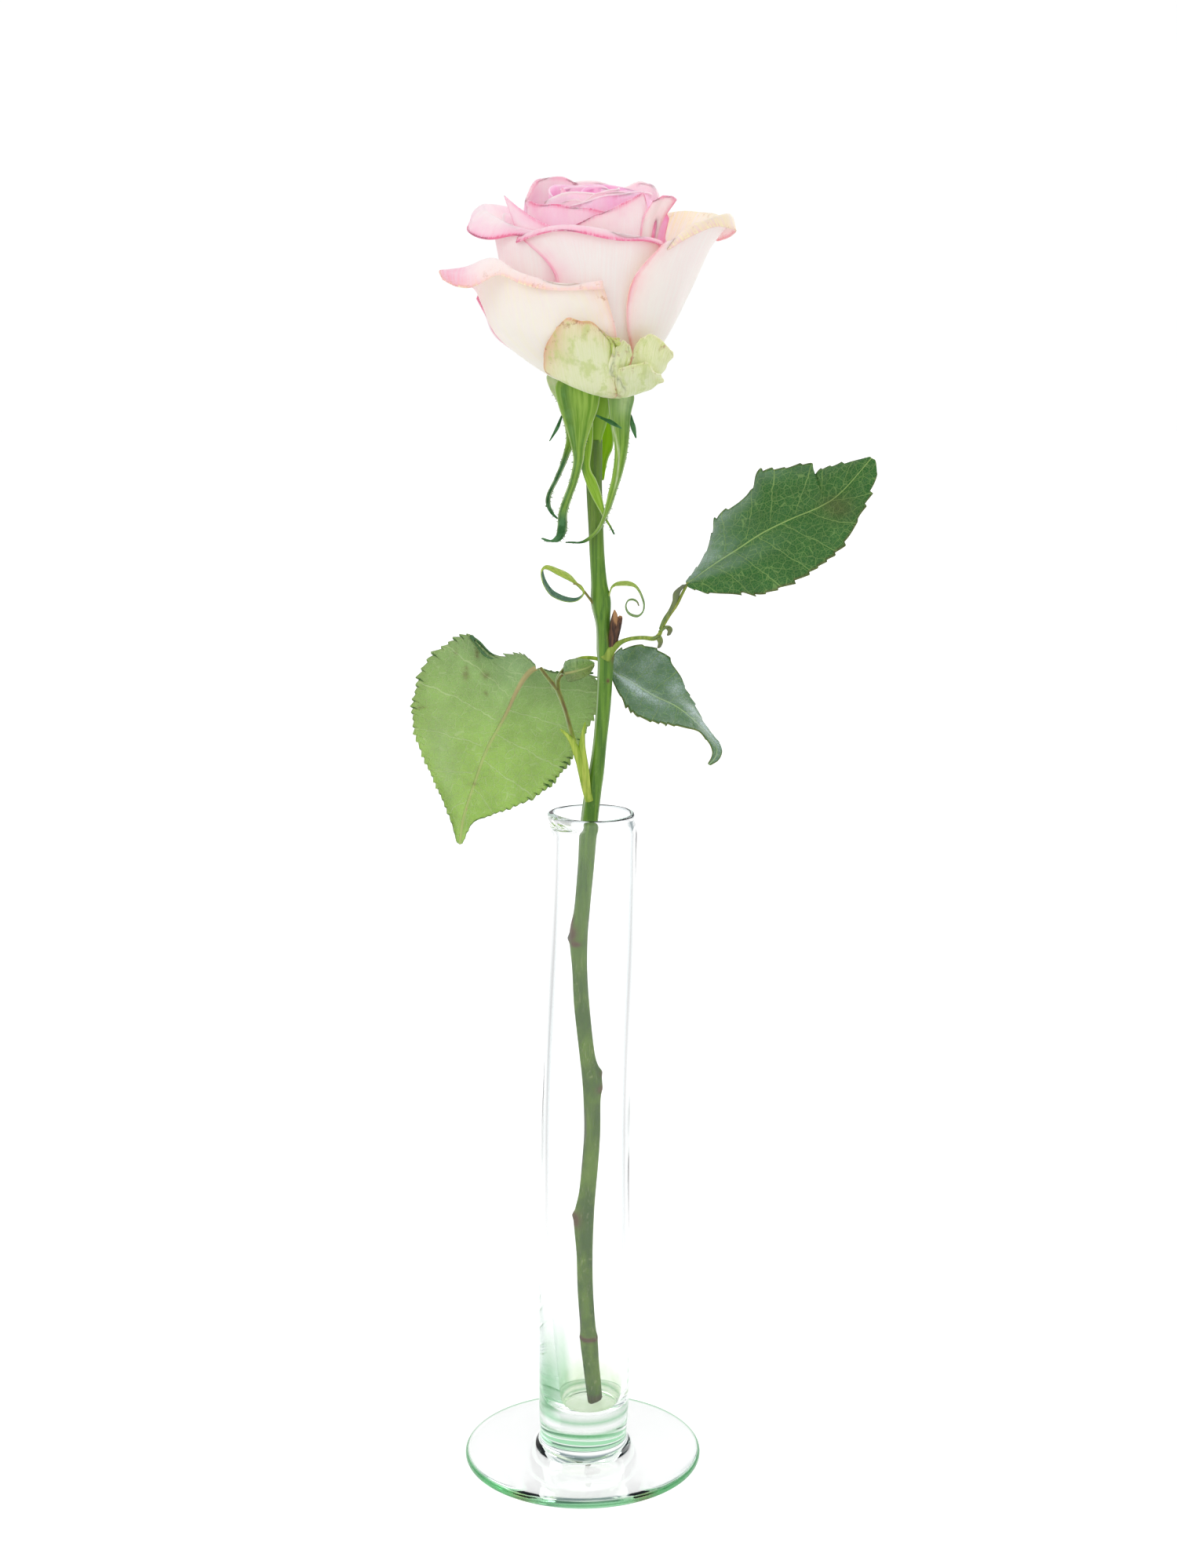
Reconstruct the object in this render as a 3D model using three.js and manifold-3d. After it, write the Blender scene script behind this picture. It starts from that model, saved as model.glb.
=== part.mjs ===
// A single cut rose standing in a slim glass bud vase.
// Millimetres, +Z up, the origin at the centre of the foot's flat underside, the viewer at -Y.
import * as THREE from "three";
import Module from "manifold-3d";
import { mergeVertices } from "three/addons/utils/BufferGeometryUtils.js";

const wasm = await Module();
wasm.setup();

// Driving sizes
const VASE_HEIGHT = 210;
const FOOT_RADIUS = 37.5;
const FOOT_EDGE = 4.4;
const TUBE_RADIUS = 14.3;
const MOUTH_RADIUS = 13.0;
const CAVITY_RADIUS = 11.4;
const CAVITY_FLOOR = 17.3;
const CAVITY_SHIFT = 1.9;
const LIP_SAG = 1.3;
const LIP_FLARE = 0.5;
const DRIP_TURN = -2.35;
const DRIP_SPREAD = 0.75;
const DRIP_BULGE = 0.9;
const VASE_SEGMENTS = 32;
const CUT_HEIGHT = 19.3;
const CUT_SLANT = -0.4;
const BLOOM_X = 3.5;
const BLOOM_BASE = 338;
const PETAL_THICK = 0.62;
const GUARD_THICK = 0.62;
const LEAF_THICK = 0.62;
const SEPAL_THICK = 0.7;
const RIBBON_THICK = 0.8;
const GAP = 0.3;

// Colours
const GLASS = 0xdfeee6;
const STEM_GREEN = 0x6f9440;
const BARK_BROWN = 0x5a3d2b;
const RIBBON_GREEN = 0x7fa653;
const STALK_OLIVE = 0x8f8a4e;
const LEAF_GREEN = 0x2f6b33;
const UNDERLEAF_GREEN = 0x86ad58;
const SEPAL_GREEN = 0x78a548;
const GUARD_CREAM = 0xdfe3b4;
const PETAL_PINK = 0xf3dde0;

// A point on the smooth curve through a list of equally long number lists
function spline(list, t) {
  const last = list.length - 1;
  const place = Math.min(Math.max(t, 0), 1) * last;
  const i = Math.min(Math.floor(place), last - 1);
  const f = place - i;
  return list[i].map((b, k) => {
    const c = list[i + 1][k];
    const a = i > 0 ? list[i - 1][k] : 2 * b - c;
    const d = i + 2 <= last ? list[i + 2][k] : 2 * c - b;
    const bend = 2 * a - 5 * b + 4 * c - d + f * (3 * (b - c) + d - a);
    return b + 0.5 * f * (c - a + f * bend);
  });
}

// The same curve, with t measured along its length
function evenSpline(list, t) {
  const lengths = [0];
  for (let i = 1; i < list.length; i++) {
    const step = Math.hypot(...[0, 1, 2].map((k) => list[i][k] - list[i - 1][k]));
    lengths.push(lengths[i - 1] + step);
  }
  const want = Math.min(Math.max(t, 0), 1) * lengths[lengths.length - 1];
  let i = 0;
  while (i < list.length - 2 && lengths[i + 1] < want) i++;
  const f = (want - lengths[i]) / (lengths[i + 1] - lengths[i]);
  return spline(list, (i + f) / (list.length - 1));
}

// A solid from vertices and triangles, turned to face out
function solidFrom(positions, triangles) {
  const make = (tris) =>
    new wasm.Manifold(
      new wasm.Mesh({
        numProp: 3,
        vertProperties: new Float32Array(positions.flat()),
        triVerts: new Uint32Array(tris.flat()),
      }),
    );
  const solid = make(triangles);
  if (solid.volume() > 0) return solid;
  return make(triangles.map(([a, b, c]) => [a, c, b]));
}

// A closed three.js geometry as a solid
function solidOf(geometry) {
  geometry.deleteAttribute("normal");
  geometry.deleteAttribute("uv");
  const closed = mergeVertices(geometry, 1e-4);
  const at = closed.getAttribute("position");
  const corner = (k) => [at.getX(k), at.getY(k), at.getZ(k)];
  const positions = Array.from({ length: at.count }, (_, k) => corner(k));
  const triangles = [];
  for (let k = 0; k < closed.index.count; k += 3) {
    triangles.push([0, 1, 2].map((side) => closed.index.getX(k + side)));
  }
  return solidFrom(positions, triangles);
}

// A thin sheet: both faces follow one surface and are triangulated alike, and a strip closes the edge
function sheet(point, columns, rows, thickness) {
  const grid = [];
  for (let j = 0; j <= rows; j++) {
    for (let i = 0; i <= columns; i++) grid.push(new THREE.Vector3(...point(i / columns, j / rows)));
  }
  const at = (i, j) => j * (columns + 1) + i;
  const front = [];
  const back = [];
  for (let j = 0; j <= rows; j++) {
    for (let i = 0; i <= columns; i++) {
      const left = grid[at(Math.max(i - 1, 0), j)];
      const right = grid[at(Math.min(i + 1, columns), j)];
      const below = grid[at(i, Math.max(j - 1, 0))];
      const above = grid[at(i, Math.min(j + 1, rows))];
      const along = right.clone().sub(left);
      const normal = along.cross(above.clone().sub(below)).normalize();
      const here = grid[at(i, j)];
      front.push(here.clone().addScaledVector(normal, thickness / 2).toArray());
      back.push(here.clone().addScaledVector(normal, -thickness / 2).toArray());
    }
  }
  const count = front.length;
  const triangles = [];
  for (let j = 0; j < rows; j++) {
    for (let i = 0; i < columns; i++) {
      const [a, b, c, d] = [at(i, j), at(i + 1, j), at(i + 1, j + 1), at(i, j + 1)];
      triangles.push([a, b, c], [a, c, d]);
      triangles.push([a + count, c + count, b + count], [a + count, d + count, c + count]);
    }
  }
  const edge = [];
  for (let i = 0; i < columns; i++) edge.push(at(i, 0));
  for (let j = 0; j < rows; j++) edge.push(at(columns, j));
  for (let i = columns; i > 0; i--) edge.push(at(i, rows));
  for (let j = rows; j > 0; j--) edge.push(at(0, j));
  edge.forEach((a, k) => {
    const b = edge[(k + 1) % edge.length];
    triangles.push([b, a, a + count], [b, a + count, b + count]);
  });
  return solidFrom([...front, ...back], triangles);
}

// A round rod through points of [x, y, z, radius]
function rod(points, sides, steps, extra = 0) {
  const positions = [];
  for (let j = 0; j <= steps; j++) {
    const [x, y, z, r] = evenSpline(points, j / steps);
    const ahead = evenSpline(points, Math.min(j / steps + 0.01, 1));
    const behind = evenSpline(points, Math.max(j / steps - 0.01, 0));
    const way = new THREE.Vector3(...[0, 1, 2].map((k) => ahead[k] - behind[k])).normalize();
    const across = way.clone().cross(new THREE.Vector3(0, 1, 0)).normalize();
    const over = across.clone().cross(way);
    for (let i = 0; i < sides; i++) {
      const turn = (2 * Math.PI * i) / sides;
      const out = across.clone().multiplyScalar(Math.cos(turn)).addScaledVector(over, Math.sin(turn));
      positions.push([x, y, z].map((value, k) => value + out.getComponent(k) * (r + extra)));
    }
  }
  const triangles = [];
  for (let j = 0; j < steps; j++) {
    for (let i = 0; i < sides; i++) {
      const a = j * sides + i;
      const b = j * sides + ((i + 1) % sides);
      triangles.push([a, b, b + sides], [a, b + sides, a + sides]);
    }
  }
  const start = positions.length;
  positions.push(points[0].slice(0, 3), points[points.length - 1].slice(0, 3));
  const top = steps * sides;
  for (let i = 0; i < sides; i++) {
    const next = (i + 1) % sides;
    triangles.push([start, next, i], [start + 1, top + i, top + next]);
  }
  return solidFrom(positions, triangles);
}

// A ribbon through points of [x, y, z, half width], its width along a side direction
function ribbon(points, side, rows, thickness, extra = 0) {
  const across = new THREE.Vector3(...side).normalize();
  const point = (u, v) => {
    const [x, y, z, half] = evenSpline(points, v);
    const shift = (2 * u - 1) * (half + extra);
    return [x + across.x * shift, y + across.y * shift, z + across.z * shift];
  };
  return sheet(point, 1, rows, thickness + 2 * extra);
}

// A strip from rows of [left x, right x, y, z], its middle pushed towards the viewer by a part of its width
function strip(lines, keel, columns, rows, thickness) {
  const point = (u, v) => {
    const [left, right, y, z] = spline(lines, v);
    const bulge = keel * (right - left) * 4 * u * (1 - u);
    return [left + (right - left) * u, y - bulge, z];
  };
  return sheet(point, columns, rows, thickness);
}

const union = (solids) => solids.reduce((all, one) => all.add(one));

// The largest body, with any closed void inside it filled
function largest(solid) {
  return solid.decompose().reduce((best, one) => (one.volume() > best.volume() ? one : best));
}

// Cuts the neighbours away, with the gap already in them, and keeps the largest body
function clearOf(solid, neighbours) {
  return largest(neighbours.reduce((rest, one) => rest.subtract(one), solid));
}

// Vase: outer profile from the foot up, then the inside from the mouth down, as [radius, height]
const vaseOutside = [
  [0, 0],
  [34, 0],
  [37.3, 1.3],
  [FOOT_RADIUS, 2.3],
  [36.2, FOOT_EDGE],
  [21, 5.5],
  [16.8, 6.3],
  [15, 7.8],
  [14.2, 10],
  [13.9, 12.4],
  [TUBE_RADIUS, 18],
  [TUBE_RADIUS, 60],
  [13.9, 110],
  [13.4, 155],
  [MOUTH_RADIUS, 195],
  [MOUTH_RADIUS, 204.3],
  [13.2, 206.5],
  [13.6, 208.2],
  [13.4, 209.5],
  [12.7, VASE_HEIGHT],
];
const vaseInside = [
  [11.9, 209.4],
  [11.4, 207.6],
  [CAVITY_RADIUS, 195],
  [11.6, 155],
  [12, 110],
  [12.1, 60],
  [11.9, 28],
  [11.3, 22],
  [9.6, 18.8],
  [6, 17.6],
  [0, CAVITY_FLOOR],
];
// The tube's middle wanders to the right as it rises, and the lip sags back to the left
const tubeMiddle = [
  [0, 0],
  [20, 0.4],
  [70, 0.6],
  [110, 1.0],
  [155, 2.5],
  [204, 3.8],
];

function tubeMiddleAt(z) {
  const after = tubeMiddle.findIndex(([height]) => height >= z);
  if (after <= 0) return after < 0 ? tubeMiddle[tubeMiddle.length - 1][1] : 0;
  const [z0, x0] = tubeMiddle[after - 1];
  const [z1, x1] = tubeMiddle[after];
  return x0 + ((x1 - x0) * (z - z0)) / (z1 - z0);
}

function vase() {
  const profile = [...vaseOutside, ...vaseInside];
  const lathe = new THREE.LatheGeometry(
    profile.map(([r, z]) => new THREE.Vector2(r, z)),
    VASE_SEGMENTS,
  );
  lathe.rotateX(Math.PI / 2);
  const spots = lathe.getAttribute("position");
  for (let k = 0; k < spots.count; k++) {
    const row = k % profile.length;
    const inside = row >= vaseOutside.length;
    const z = profile[row][1];
    const lip = THREE.MathUtils.smoothstep(z, 204.3, 208.2);
    const turn = Math.atan2(spots.getY(k), spots.getX(k));
    const near = Math.exp(-(((turn - DRIP_TURN) / DRIP_SPREAD) ** 2));
    const drip = near * THREE.MathUtils.smoothstep(z, 203.5, 206);
    const cavityShift = inside ? CAVITY_SHIFT * (1 - THREE.MathUtils.smoothstep(z, 22, 65)) : 0;
    const wider = inside ? 0 : LIP_FLARE * lip + DRIP_BULGE * drip;
    const shift = tubeMiddleAt(z) + cavityShift - LIP_SAG * lip;
    spots.setX(k, spots.getX(k) + wider * Math.cos(turn) + shift);
    spots.setY(k, spots.getY(k) + wider * Math.sin(turn));
  }
  return solidOf(lathe);
}

// Stem: [x, y, z, radius] from the slanting cut up to the calyx, with a swelling at each leaf node
const stemLine = [
  [3.5, 1.5, 18.2, 2.2],
  [2.8, 2, 23, 2.5],
  [2, 2.5, 30, 2.5],
  [1.6, 2.5, 37.5, 2.8],
  [1.4, 2.5, 43, 2.45],
  [1, 2, 55, 2.4],
  [0.9, 2, 67, 2.5],
  [0.6, 1.8, 79, 3.1],
  [1.6, 1.5, 88, 2.5],
  [2.3, 1.3, 97, 2.4],
  [2.9, 1, 108, 2.4],
  [2.8, 1, 118, 2.6],
  [2.8, 0.8, 125.5, 3.1],
  [1.3, 0.5, 133, 2.4],
  [-0.4, 0, 149, 2.4],
  [-1, 0, 161, 2.4],
  [-1.2, 0, 171.5, 2.9],
  [-0.1, 0, 180, 2.3],
  [1, 0, 193.5, 2.1],
  [2, 0, 206.5, 2.15],
  [3.3, 0, 216.5, 2.35],
  [4.4, 0, 222.5, 2],
  [5.4, 0, 232, 2.05],
  [6.4, 0, 243, 2.2],
  [7, 0, 255, 2.3],
  [7, 0, 259.5, 2.6],
  [6.3, 0, 267, 2.15],
  [5.6, 0, 274, 3],
  [5, 0, 280, 2.4],
  [4.4, 0, 288, 2.2],
  [4, 0, 297, 2.2],
  [3.5, 0, 309, 2.3],
  [3.5, 0, 322, 2.4],
];

function stem(extra = 0) {
  const knife = new THREE.BoxGeometry(20, 20, 10);
  knife.translate(0, 0, -5);
  knife.rotateY(CUT_SLANT);
  knife.translate(stemLine[0][0], stemLine[0][1], CUT_HEIGHT - extra);
  return rod(stemLine, 10, 58, extra).subtract(solidOf(knife));
}

// Short dead stub with two prongs
function stub() {
  const foot = [8.9, -1.6, 260.2, 1.25];
  const left = rod([foot, [9.2, -1.8, 265, 1.2], [9.9, -2, 271.6, 0.75]], 6, 3);
  const right = rod([foot, [9.9, -1.8, 265, 1.2], [11.4, -2, 269.6, 0.7]], 6, 3);
  return left.add(right);
}

const bractLeft = [
  [3.1, -1.4, 273.4, 0.6],
  [2.4, -2, 275, 1],
  [0.8, -2.6, 278, 1.2],
  [-1.6, -3, 280.6, 1.4],
  [-4.6, -3.4, 282.6, 1.6],
  [-8.4, -4, 284.6, 1.6],
  [-11, -4.6, 285.2, 1.5],
  [-12.1, -5, 283.6, 1.5],
  [-11, -5.2, 280.8, 1.5],
  [-9, -5.2, 278, 1.4],
  [-5.6, -5.2, 275.8, 1.3],
  [-2.4, -5.2, 275.2, 1.1],
  [-0.2, -5.2, 276.6, 0.9],
  [0.2, -5.2, 278.4, 0.7],
  [-1.1, -5.2, 280, 0.5],
];
const bractRight = [
  [8.3, -0.9, 275.6, 0.6],
  [8.9, -1.4, 277.9, 0.9],
  [10.5, -2, 279.6, 1.1],
  [13.4, -2.2, 279.8, 1.2],
  [15.9, -2.5, 279.4, 1.2],
  [17.2, -2.8, 276.8, 1.1],
  [18.3, -3, 274, 1.1],
  [18.3, -3.1, 271.6, 1],
  [16.6, -3.2, 270, 0.9],
  [14.2, -3.2, 270.6, 0.8],
  [13, -3.2, 272.6, 0.7],
  [13.5, -3.2, 274.5, 0.6],
  [15, -3.2, 275.2, 0.5],
  [16, -3.2, 273.9, 0.4],
];
const bractSide = [0.25, 1, 0.5];

const upperStalkLine = [
  [7.9, -1.4, 259.2, 1.5],
  [9.6, -2, 260.3, 1.2],
  [11.2, -2.4, 261.8, 0.8],
  [14, -3, 263, 0.6],
  [17.5, -4, 263.9, 0.6],
  [20.3, -5, 263.3, 0.75],
  [22, -5.5, 264.2, 0.75],
  [23.4, -6, 267, 0.6],
  [25.6, -7, 271, 0.55],
  [28, -7.6, 275.2, 0.6],
  [29.3, -8, 278.8, 0.7],
];
// Withered hooked stipules and the withered strip beside the upper stalk, as [x, y, z, half width]
const hookLow = [
  [20.6, -5.6, 263.6, 0.7],
  [22.4, -6.2, 264.4, 0.8],
  [23.2, -6.4, 263, 0.6],
  [22.8, -6.4, 261.4, 0.35],
];
const hookHigh = [
  [23.2, -6.4, 266.2, 0.6],
  [25, -6.8, 267.4, 0.7],
  [26, -7, 266.6, 0.6],
  [25.6, -7, 265.2, 0.35],
];
const witheredStrip = [
  [22.8, -5.6, 266.4, 0.4],
  [24.4, -6.2, 270, 0.9],
  [26.2, -6.9, 274, 1.2],
  [27, -7.2, 277.2, 1.4],
  [28.2, -7.6, 278.6, 0.8],
];

function upperStalk(extra = 0) {
  const face = [1, -0.5, 0.35];
  return union([
    rod(upperStalkLine, 6, 20, extra),
    ribbon(hookLow, face, 5, RIBBON_THICK, extra),
    ribbon(hookHigh, face, 5, RIBBON_THICK, extra),
    ribbon(witheredStrip, face, 7, RIBBON_THICK, extra),
  ]);
}

const lowerStalkLine = [
  [2.2, -1.8, 214, 1.3],
  [1, -2.4, 218.5, 1.3],
  [-0.9, -2.6, 226.5, 1.1],
  [-3, -2, 234, 0.8],
  [-5.1, -0.6, 241.5, 0.7],
  [-7.4, 0.6, 247.6, 0.9],
];
const forkLeft = [
  [-7.4, 0.6, 247.6, 0.9],
  [-9, 1.4, 249.4, 0.75],
  [-10.6, 2.4, 251.2, 0.65],
  [-12.6, 3.8, 253.6, 0.6],
];
const forkRight = [
  [-7.4, 0.6, 247.6, 0.9],
  [-7.3, 1.4, 250.6, 0.7],
  [-5.9, 3, 252.9, 0.6],
  [-3.4, 5, 255, 0.6],
  [0, 6.6, 256.2, 0.6],
  [4, 7.4, 256, 0.6],
  [7, 7.4, 254.8, 0.6],
];
const smallForkLine = [
  [-7.2, 1.2, 250.2, 0.6],
  [-6.6, 0.4, 251.6, 0.55],
  [-5.9, 0.2, 252.2, 0.55],
];
// Winged stipules beside the lower stalk, each ending in a free point
const wingLeft = [
  [1.6, -2.8, 215.5, 0.7],
  [0, -3.3, 222, 1.5],
  [-2, -3.3, 229, 1.7],
  [-4.4, -3, 233.4, 1],
  [-6.6, -2.8, 236.4, 0.35],
];
const wingRight = [
  [2, -2.8, 216.5, 0.7],
  [1.2, -3.3, 223, 1.4],
  [0.2, -3.2, 229.6, 1.5],
  [0.4, -3, 234, 0.9],
  [1, -2.8, 237.4, 0.35],
];

function lowerStalk(extra = 0) {
  return union([
    rod(lowerStalkLine, 6, 9, extra),
    rod(forkLeft, 6, 4, extra),
    rod(forkRight, 6, 9, extra),
    rod(smallForkLine, 5, 3, extra),
    ribbon(wingLeft, [1, 0.2, 0.3], 8, RIBBON_THICK, extra),
    ribbon(wingRight, [1, -0.2, 0.1], 8, RIBBON_THICK, extra),
  ]);
}

// A leaflet lies between its midrib and two toothed edges
const upperLeaf = {
  middle: [
    [30.1, -8.2, 280.2],
    [38, -6, 285.5],
    [46, -5, 290.5],
    [53, -4.5, 295],
    [61, -5, 299],
    [70, -6, 303],
    [76, -7.5, 307.5],
    [84.4, -11, 317.9],
  ],
  left: [
    [30, -8, 280.4],
    [33, -4, 283.4],
    [36.5, 0, 288],
    [39, 4, 294],
    [40.7, 6, 298.5],
    [47.5, 7, 303],
    [51, 8, 306.5],
    [53, 8, 311.5],
    [60, 6, 313],
    [67.8, 4, 314.4],
    [67.2, 2, 309.8],
    [70.5, 0.5, 313.2],
    [76, -4, 315],
    [81, -8, 316.4],
    [84.3, -11, 318],
  ],
  right: [
    [30.4, -8.6, 279.8],
    [37.5, -12, 278.4],
    [45.5, -15, 279],
    [52, -17, 278.8],
    [60.5, -18, 282.2],
    [68, -17, 286.4],
    [73, -16, 290.4],
    [77, -15, 295],
    [80.5, -13.5, 301.5],
    [83.2, -12, 307.5],
    [85.2, -11.2, 313.5],
    [84.6, -11, 317.8],
  ],
  teeth: 17,
  tooth: 0.75,
  cup: -1.6,
};
const rightLeaf = {
  middle: [
    [9.6, 7, 252.4],
    [14.5, 5, 249.5],
    [21.5, 2, 245.5],
    [28.5, -1, 242.5],
    [34.5, -4, 238],
    [39, -7, 233.2],
    [41, -9.5, 229.6],
    [37.2, -12, 226.9],
  ],
  left: [
    [9.6, 7.4, 252.9],
    [11.5, 12, 257.6],
    [17.5, 15, 258.6],
    [24, 14, 256.4],
    [29.3, 10, 250.6],
    [31, 7.4, 246.8],
    [33.4, 4.6, 243],
    [36, 0.6, 238.6],
    [39.4, -4, 233.8],
    [42, -8, 230.4],
    [40.6, -11, 227.4],
    [37.2, -12.4, 226.6],
  ],
  right: [
    [9.7, 6.6, 252],
    [12.5, 1, 247],
    [14.5, -3, 243.5],
    [17, -6, 241],
    [20.5, -8, 239.5],
    [24.5, -9, 238.8],
    [30.5, -10, 237.6],
    [34.5, -9.5, 236.6],
    [38, -9.8, 233.6],
    [38.9, -10.6, 230.6],
    [37, -12.2, 227.2],
  ],
  teeth: 13,
  tooth: 0.7,
  cup: 1.4,
};
const largeLeaf = {
  middle: [
    [-13.4, 5, 253.6],
    [-16.5, 8, 251],
    [-20, 9.4, 245.5],
    [-23, 10.4, 239],
    [-25.7, 10.6, 234],
    [-29.5, 10, 227],
    [-33, 8, 217.5],
    [-36.5, 4, 207.5],
    [-38.6, 1, 200.4],
  ],
  left: [
    [-13.6, 5, 253.9],
    [-19, 9, 257],
    [-26, 11, 255.6],
    [-31.5, 13, 259.2],
    [-34.2, 14, 262],
    [-40, 10, 260],
    [-46, 7, 255.4],
    [-49, 5, 249.5],
    [-50.8, 4, 240.5],
    [-49.8, 3, 232],
    [-46.7, 3, 223.5],
    [-43, 2.6, 214],
    [-41, 2, 207],
    [-38.9, 1, 200.3],
  ],
  right: [
    [-13, 5.4, 253.2],
    [-7.5, 9, 251.5],
    [0, 13, 250.8],
    [4.2, 14.6, 248],
    [4.4, 15, 241],
    [0.7, 15, 232.5],
    [-4.5, 13, 223.5],
    [-10.5, 11, 216.4],
    [-17.5, 9, 212],
    [-27.5, 6, 208.4],
    [-33.5, 3.6, 206],
    [-38.3, 1, 200.2],
  ],
  teeth: 26,
  tooth: 0.8,
  cup: 1.5,
};
const smallLeaf = {
  middle: [
    [-5.4, 0.2, 252.5],
    [-2.4, -0.6, 253.2],
    [1, 0.4, 254],
    [3.6, 2.2, 255],
  ],
  left: [
    [-5.5, 0.6, 252.8],
    [-5, 1.6, 255.6],
    [-1.6, 2, 256.6],
    [1.8, 2.6, 256.2],
    [3.7, 2.8, 255.2],
  ],
  right: [
    [-5.3, 0.2, 252.2],
    [-4, -0.6, 250.4],
    [-0.6, -0.8, 251.2],
    [2.2, 0.8, 252.6],
    [3.7, 2.2, 254.8],
  ],
  teeth: 6,
  tooth: 0.35,
  cup: 0.5,
};

const LEAF_START = 0.012;
const LEAF_END = 0.985;

function leafPoint(leaf, u, v) {
  const t = LEAF_START + (LEAF_END - LEAF_START) * v;
  const rib = evenSpline(leaf.middle, t);
  const edge = evenSpline(u < 0.5 ? leaf.left : leaf.right, t);
  const out = Math.abs(2 * u - 1);
  const reach = edge.map((value, k) => value - rib[k]);
  const width = Math.hypot(...reach);
  const saw = 1 - Math.abs(2 * ((v * leaf.teeth) % 1) - 1);
  const tooth = (leaf.tooth * saw * out ** 6 * Math.min(width / 6, 1)) / Math.max(width, 0.01);
  const cup = leaf.cup * 4 * out * (1 - out) * Math.min(width / 12, 1);
  return rib.map((value, k) => value + reach[k] * (out + tooth) + (k === 1 ? cup : 0));
}

function leaf(shape) {
  return sheet((u, v) => leafPoint(shape, u, v), 4, 2 * shape.teeth, LEAF_THICK);
}

// Sepals: rows of [left x, right x, y, z] from the calyx out and down to the tip
const sepalFrontLeft = [
  [1.5, 4.5, -4.4, 334.4],
  [-3.4, 5, -8.4, 336.6],
  [-6.6, 5, -10.6, 335.6],
  [-6.3, 4.6, -10.3, 331.5],
  [-4.7, 3.2, -8.8, 326.5],
  [-2.5, 1.2, -7, 320],
  [-2.4, 0.4, -6.2, 315.5],
  [-4, -1.8, -5.6, 308.5],
  [-6.4, -3.6, -5.2, 304],
  [-7.2, -4.4, -5, 300.5],
  [-7.8, -5, -4.6, 296],
  [-9.4, -7.6, -4.2, 293],
  [-12.2, -11.6, -4, 293.2],
];
const sepalRight = [
  [5, 8, -3.4, 334.4],
  [7, 12, -5.4, 336.2],
  [7.6, 14.6, -6.4, 334.4],
  [8, 14.4, -6.2, 330.5],
  [8.6, 13.4, -5.8, 325.5],
  [9.1, 12.6, -5.4, 319],
  [9, 11.6, -5.2, 314.5],
  [8, 10, -4.8, 308],
  [6.6, 8, -4.4, 301.8],
  [4.6, 6, -4.1, 298],
  [2.4, 3.6, -3.9, 294.6],
  [-0.6, 0.4, -3.7, 292.2],
  [-4.6, -4, -3.4, 291.8],
];
const sepalBehind = [
  [2, 6, 4.2, 334.4],
  [3.4, 8, 8, 336],
  [4, 8.6, 9.4, 333],
  [4.6, 8.8, 8, 327.5],
  [4, 9.1, 6.4, 320.5],
  [3.6, 8.6, 5.2, 315.5],
  [4, 7.2, 4.4, 311],
  [5, 7, 4, 306],
  [6.4, 7.4, 3.6, 300],
];
// This sepal comes round the left of the stem and crosses in front of it
const sepalCrossing = [
  [-0.4, 2.4, -4.2, 334.2],
  [-2.2, 3, -6.4, 330],
  [-1.6, 3, -4.8, 322],
  [-0.2, 3.2, -4.2, 316],
  [1, 3.6, -4, 311.5],
  [3, 5.2, -4, 306.5],
  [5.2, 6.8, -3.9, 302],
  [7, 8, -3.6, 298.6],
  [8.8, 9.4, -3.2, 294.4],
];
const sepalBackLeft = [
  [-0.5, 2.5, 4, 334.4],
  [-5, 0, 7, 336.4],
  [-8.4, -2.6, 8, 334.6],
  [-7.4, -2.6, 7.4, 328],
  [-5, -2, 6.4, 321.5],
  [-6, -4, 5.6, 316.5],
  [-8, -6.4, 5, 310.5],
  [-10.8, -9.4, 4.4, 305.5],
  [-10.9, -9.8, 4.2, 302.4],
  [-9.6, -8.8, 4, 300.2],
  [-7.6, -7, 4, 298.2],
];
const sideTips = [
  [
    [-5.6, -9.4, 330.6, 0.5],
    [-7, -8.4, 327, 0.8],
    [-8.2, -7.6, 325, 0.6],
    [-9.7, -7, 322.2, 0.3],
  ],
  [
    [3.4, -8.6, 328.4, 0.45],
    [6, -9.4, 328.4, 0.6],
    [8.6, -9.8, 327.6, 0.8],
    [11.2, -9.8, 326.3, 0.3],
  ],
  [
    [13.6, -6, 330, 0.5],
    [14.9, -6, 327.4, 0.5],
    [15.6, -6, 325.2, 0.9],
    [15.5, -6, 322.8, 0.3],
  ],
];
const hipLine = [
  [3.5, 0, 322.7, 2.5],
  [3.5, 0, 325.5, 3.4],
  [3.5, 0, 329.5, 4.6],
  [3.5, 0, 333.5, 5.4],
  [3.5, 0, 336.2, 5.2],
];

function calyx() {
  const sepals = [
    strip(sepalFrontLeft, 0.12, 2, 18, SEPAL_THICK),
    strip(sepalRight, 0.1, 2, 17, SEPAL_THICK),
    strip(sepalBehind, -0.1, 2, 11, SEPAL_THICK),
    strip(sepalCrossing, 0.1, 2, 12, SEPAL_THICK),
    strip(sepalBackLeft, -0.1, 2, 15, SEPAL_THICK),
  ];
  const tips = sideTips.map((line) => ribbon(line, [0.3, 0.2, 1], 4, SEPAL_THICK));
  return union([rod(hipLine, 12, 4), ...sepals, ...tips]);
}

// Petals: rows from the base to the rim, each of degrees from the viewer, radii and heights above the base,
// where one number stands for a whole list
const pick = (values, k) => (Array.isArray(values) ? values[k] : values);

function petalRows(lists) {
  return lists.map(([turns, radii, heights]) =>
    turns.map((turn, k) => [turn, pick(radii, k), BLOOM_BASE + pick(heights, k)]),
  );
}

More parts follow.
